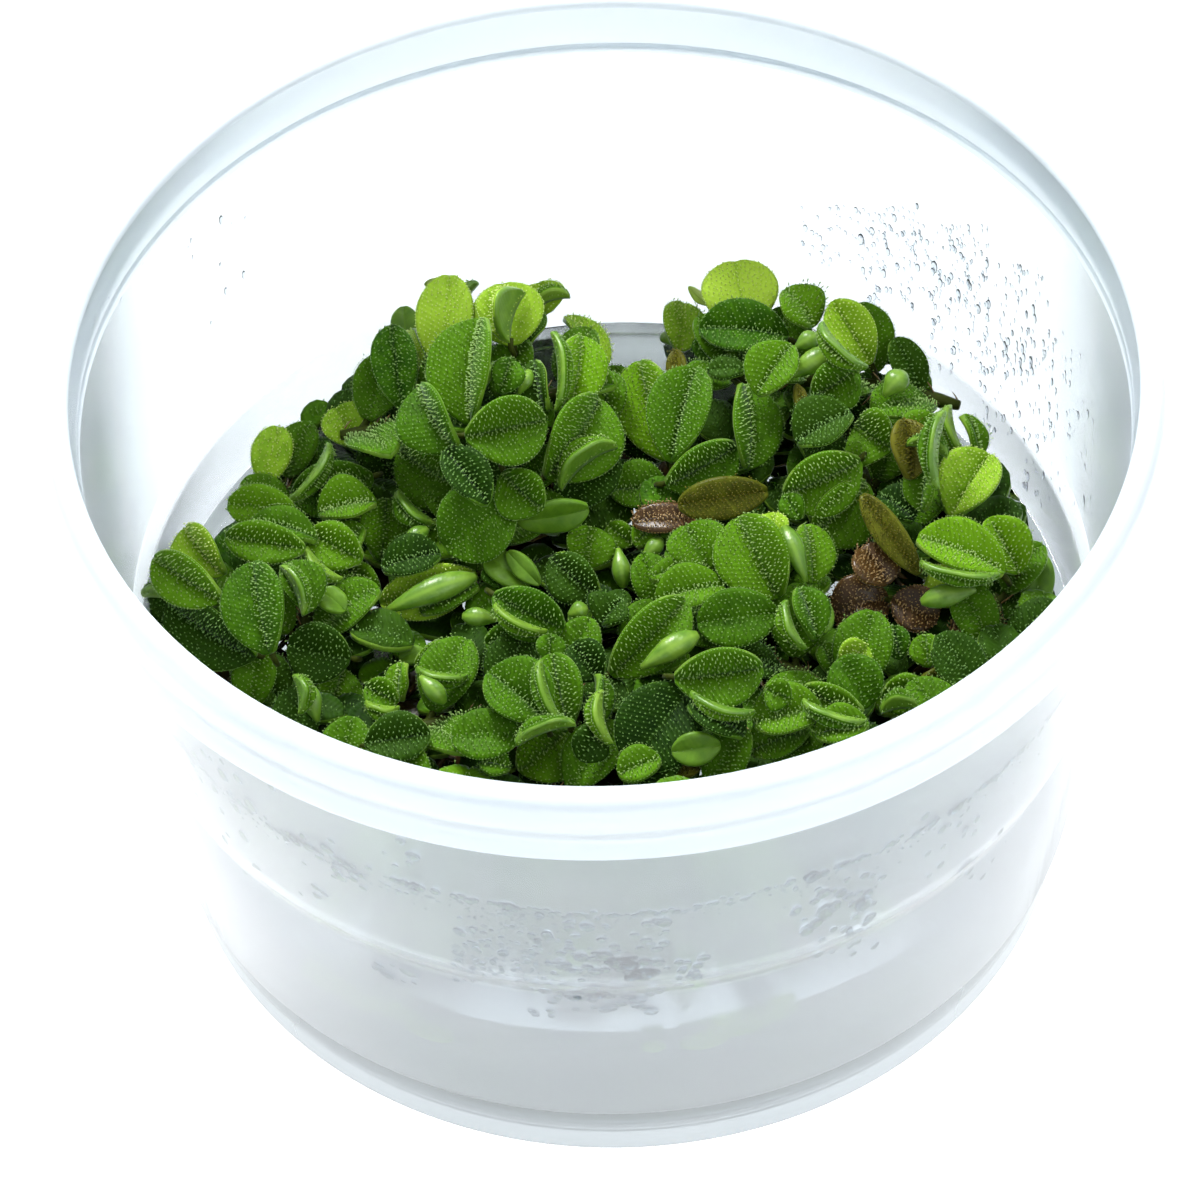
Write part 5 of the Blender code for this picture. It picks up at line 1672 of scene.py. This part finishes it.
skins = [skins_of(large_pieces + plant_pieces)]
print("the outline of the heap has", len(HEAP_OUTLINE), "corners")

# %% [markdown]
# ## Closing the gaps
# A line of sight goes down every 6 pixels. Where it passes all leaves down to the water it bends
# there, as light does. Where it then meets nothing below the surface, a dark sunken leaf is laid
# across it as painted shade under the heap, and the lines after it meet that leaf too.

# %% Close the gaps that the eye sees
SIGHT_GAP = 6  # pixels between two lines of sight
WATER_LIMIT = 43.5  # mm from the cup's axis, where the meniscus starts
SUNKEN = 4.5  # mm down the line of sight from the surface
for v in range(268, 792, SIGHT_GAP):
    for u in range(126, 1040, SIGHT_GAP):
        if not in_outline(u, v, HEAP_OUTLINE):
            continue
        surface = np.array(at_height(u, v, WATER_LEVEL)) / MM
        way = np.array(sight(u, v).normalized())
        eye = np.array(EYE) / MM
        if np.hypot(*surface[:2]) > WATER_LIMIT:
            continue
        if meets_leaf(eye, way, np.linalg.norm(surface - eye)):
            continue
        flat = way[:2] / WATER_INDEX
        under = np.array([*flat, -math.sqrt(1 - flat @ flat)])
        if meets_leaf(surface, under, 30.0):
            continue
        place = surface + under * SUNKEN
        heading = Vector((math.cos(u + v), math.sin(u + v), 0))
        form = Form(6.5, 5.6, 6, 10, 0.4, 0.15, u + v)
        here = Vector(place) - heading * form.length / 2
        matrix = frame_of(here * MM, heading, Vector((0, 0, 1)))
        owner = nearest_plant((*place[:2], FLOATING))
        # A dark leaf as painted shade under the heap.
        add_leaf(owner, matrix, form, "dark", 0.0, u + v, low_blank, 0)
        skins.append(crowd.tree_of(coarse_leaf(matrix, form), coarse_blank.quads))
print(len(skins) - 1, "sunken leaves close the gaps")

# %% [markdown]
# ## Joining the plants
# Now every leaf, stem and root hair has its plant, so each plant becomes one piece in the place of
# its solid. Points that would go through the cup are pressed against its wall first.

# %% Join each plant
for number, piece in enumerate(plant_pieces, 1):
    for i, part in enumerate(piece.parts):
        piece.parts[i] = part._replace(points=inside_cup(part.points))
    made, materials = piece.join()
    dress(made, "plant", materials, f"plant_{number:02d}")

# %% [markdown]
# ## Condensation
# The cup was warm and closed, so its inside is beaded with water: a line of fine drops round the
# front wall with a haze of tiny ones below it, patches of larger ones about that line, and a fan
# of small drops high on the right of the back wall. One drop is a sphere, flattened to a lens.

# %% Model one drop
deselect()
bpy.ops.mesh.primitive_uv_sphere_add(segments=8, ring_count=5, radius=1.0)
drop = bpy.context.object
bpy.ops.object.mode_set(mode="EDIT")
bpy.ops.mesh.select_all(action="SELECT")
bpy.ops.transform.resize(value=(1, 1, 0.7))
bpy.ops.object.mode_set(mode="OBJECT")
drop_points = np.array([vertex.co for vertex in drop.data.vertices])
drop_faces = [tuple(face.vertices) for face in drop.data.polygons]
bpy.data.objects.remove(drop)
print("a drop has", len(drop_faces), "faces")

# %% [markdown]
# ## Where the drops are
# Each patch has the pixels of a corner and of the one across from it, how many drops it has, their
# radius in mm, and how many times taller than wide they hang. Its drops are put at seeded pixels,
# where the line of sight meets the wall.

# %% Bead the wall
Patch = namedtuple("Patch", "u0 v0 u1 v1 count radius hang")
FRONT_PATCHES = (
    Patch(560, 915, 665, 1008, 80, 0.50, 0.8), Patch(575, 950, 645, 995, 22, 0.66, 0.8),
    Patch(455, 905, 560, 975, 260, 0.20, 1.1), Patch(530, 975, 565, 1010, 16, 0.45, 1.0),
    Patch(790, 870, 880, 950, 50, 0.50, 1.2), Patch(375, 955, 425, 985, 14, 0.55, 0.9),
    Patch(180, 745, 310, 840, 36, 0.50, 1.4), Patch(660, 950, 710, 980, 14, 0.48, 0.9),
    Patch(300, 835, 420, 890, 34, 0.50, 1.0), Patch(900, 810, 1000, 870, 24, 0.40, 1.1),
    Patch(960, 850, 1000, 885, 8, 0.40, 1.0), Patch(250, 840, 275, 870, 5, 0.50, 1.0),
)
BACK_PATCHES = (
    Patch(800, 205, 930, 265, 110, 0.16, 1.8), Patch(860, 225, 990, 310, 170, 0.18, 2.0),
    Patch(930, 265, 1050, 375, 190, 0.18, 2.2), Patch(975, 330, 1085, 440, 130, 0.18, 2.2),
    Patch(1020, 400, 1100, 520, 70, 0.16, 2.2), Patch(90, 210, 250, 330, 20, 0.16, 2.0),
)
BEADED = (24.0, 60.0)  # mm, between which heights the wall has drops
LINE_HEIGHT = 43.2  # mm
LINE_STEP = 0.0105  # radians from drop to drop of the line
LINE_START, LINE_END = math.radians(206), math.radians(333)
FINE_START, FINE_END = math.radians(258), math.radians(287)
HAZE_START, HAZE_END = math.radians(215), math.radians(325)
HAZE_TOP = 42.9  # mm
HAZE_COUNT = 260
random_numbers = np.random.default_rng(77)
beads = []


def bead(point, radius, hang):
    """Remember a drop on the wall at a point in mm."""
    turn = math.atan2(point[1], point[0])
    if BEADED[0] < point[2] < BEADED[1]:
        beads.append((turn, point[2], radius, hang))


for patches, front in ((FRONT_PATCHES, True), (BACK_PATCHES, False)):
    for patch in patches:
        for _ in range(patch.count):
            u = random_numbers.uniform(patch.u0, patch.u1)
            v = random_numbers.uniform(patch.v0, patch.v1)
            point = wall_point(u, v, front)
            if point is not None:
                size = patch.radius * random_numbers.lognormal(0, 0.35)
                bead(point, size, patch.hang * random_numbers.uniform(0.8, 1.2))
for turn in np.arange(LINE_START, LINE_END, LINE_STEP):
    height = LINE_HEIGHT + 0.4 * math.sin(turn * 9) + random_numbers.normal(0, 0.25)
    fine = FINE_START < turn < FINE_END
    if fine or random_numbers.uniform() < 0.7:
        radius = random_numbers.uniform(0.24, 0.38) if fine else random_numbers.lognormal(-0.8, 0.3)
        beads.append((turn + random_numbers.normal(0, 0.002), height, radius, 1.0))
for turn in random_numbers.uniform(HAZE_START, HAZE_END, HAZE_COUNT):
    height = HAZE_TOP - random_numbers.exponential(0.9)
    beads.append((turn, height, random_numbers.uniform(0.12, 0.22), 1.0))
print(len(beads), "drops")

# %% [markdown]
# ## The drops, joined
# Each drop is a copy of the one modelled, grown to its size and set against the wall. Those of the
# back wall are small and spread flat, and so are the finest of the front. The water of the front
# ones is tinted grey, a painted shade for their darker edges. The water of the back ones is a
# little rougher and paler, because they are misted over.

# %% Join the drops
FLAT_BACK = 0.14  # how thick a drop is for its width
FLAT_FINE = 0.35
FINE_RADIUS = 0.25  # mm
INTO_WALL = 0.02  # of its radius, how far a drop's middle is in the wall
misted_water = new_material("misted_water", Roughness=0.25, IOR=WATER_INDEX,
                            Transmission_Weight=1.0, Base_Color=linear("#f0f4f8"))[0]
# Grey-tinted water: painted shade for the darker edges of the drops.
hanging_water = new_material("hanging_water", Roughness=0.02, IOR=WATER_INDEX,
                             Transmission_Weight=1.0, Base_Color=linear("#dee7ed"))[0]
points, faces = [], []
for turn, height, radius, hang in beads:
    out = np.array((math.cos(turn), math.sin(turn), 0.0))
    side_way = np.array((-math.sin(turn), math.cos(turn), 0.0))
    upward = np.array((0.0, 0.0, 1.0))
    centre = out * (wall_radius(height) + INTO_WALL * radius) + upward * height
    at_back = out[1] > 0
    flat = FLAT_BACK if at_back else FLAT_FINE if radius < FINE_RADIUS else 1.0
    sunk = np.where(drop_points[:, 2:] > 0, flat, flat / 2 if at_back else flat)
    grown = (centre + side_way * drop_points[:, :1] * radius
             + upward * drop_points[:, 1:2] * radius * hang
             + out * drop_points[:, 2:] * -radius * sunk)
    start = len(points) * len(drop_points)
    points.append(grown * MM)
    faces += [tuple(start + i for i in face) for face in drop_faces]
mesh = bpy.data.meshes.new("condensation")
mesh.from_pydata(np.concatenate(points), [], faces)
mesh.polygons.foreach_set("use_smooth", [True] * len(faces))
condensation = bpy.data.objects.new("condensation", mesh)
scene.collection.objects.link(condensation)
deselect()
bpy.context.view_layer.objects.active = condensation
condensation.select_set(True)
bpy.ops.object.mode_set(mode="EDIT")
bpy.ops.mesh.select_all(action="SELECT")
bpy.ops.mesh.normals_make_consistent(inside=False)
bpy.ops.object.mode_set(mode="OBJECT")
dress(condensation, "water", [hanging_water, misted_water])
for face in condensation.data.polygons:
    face.material_index = int(face.center.y > 0)
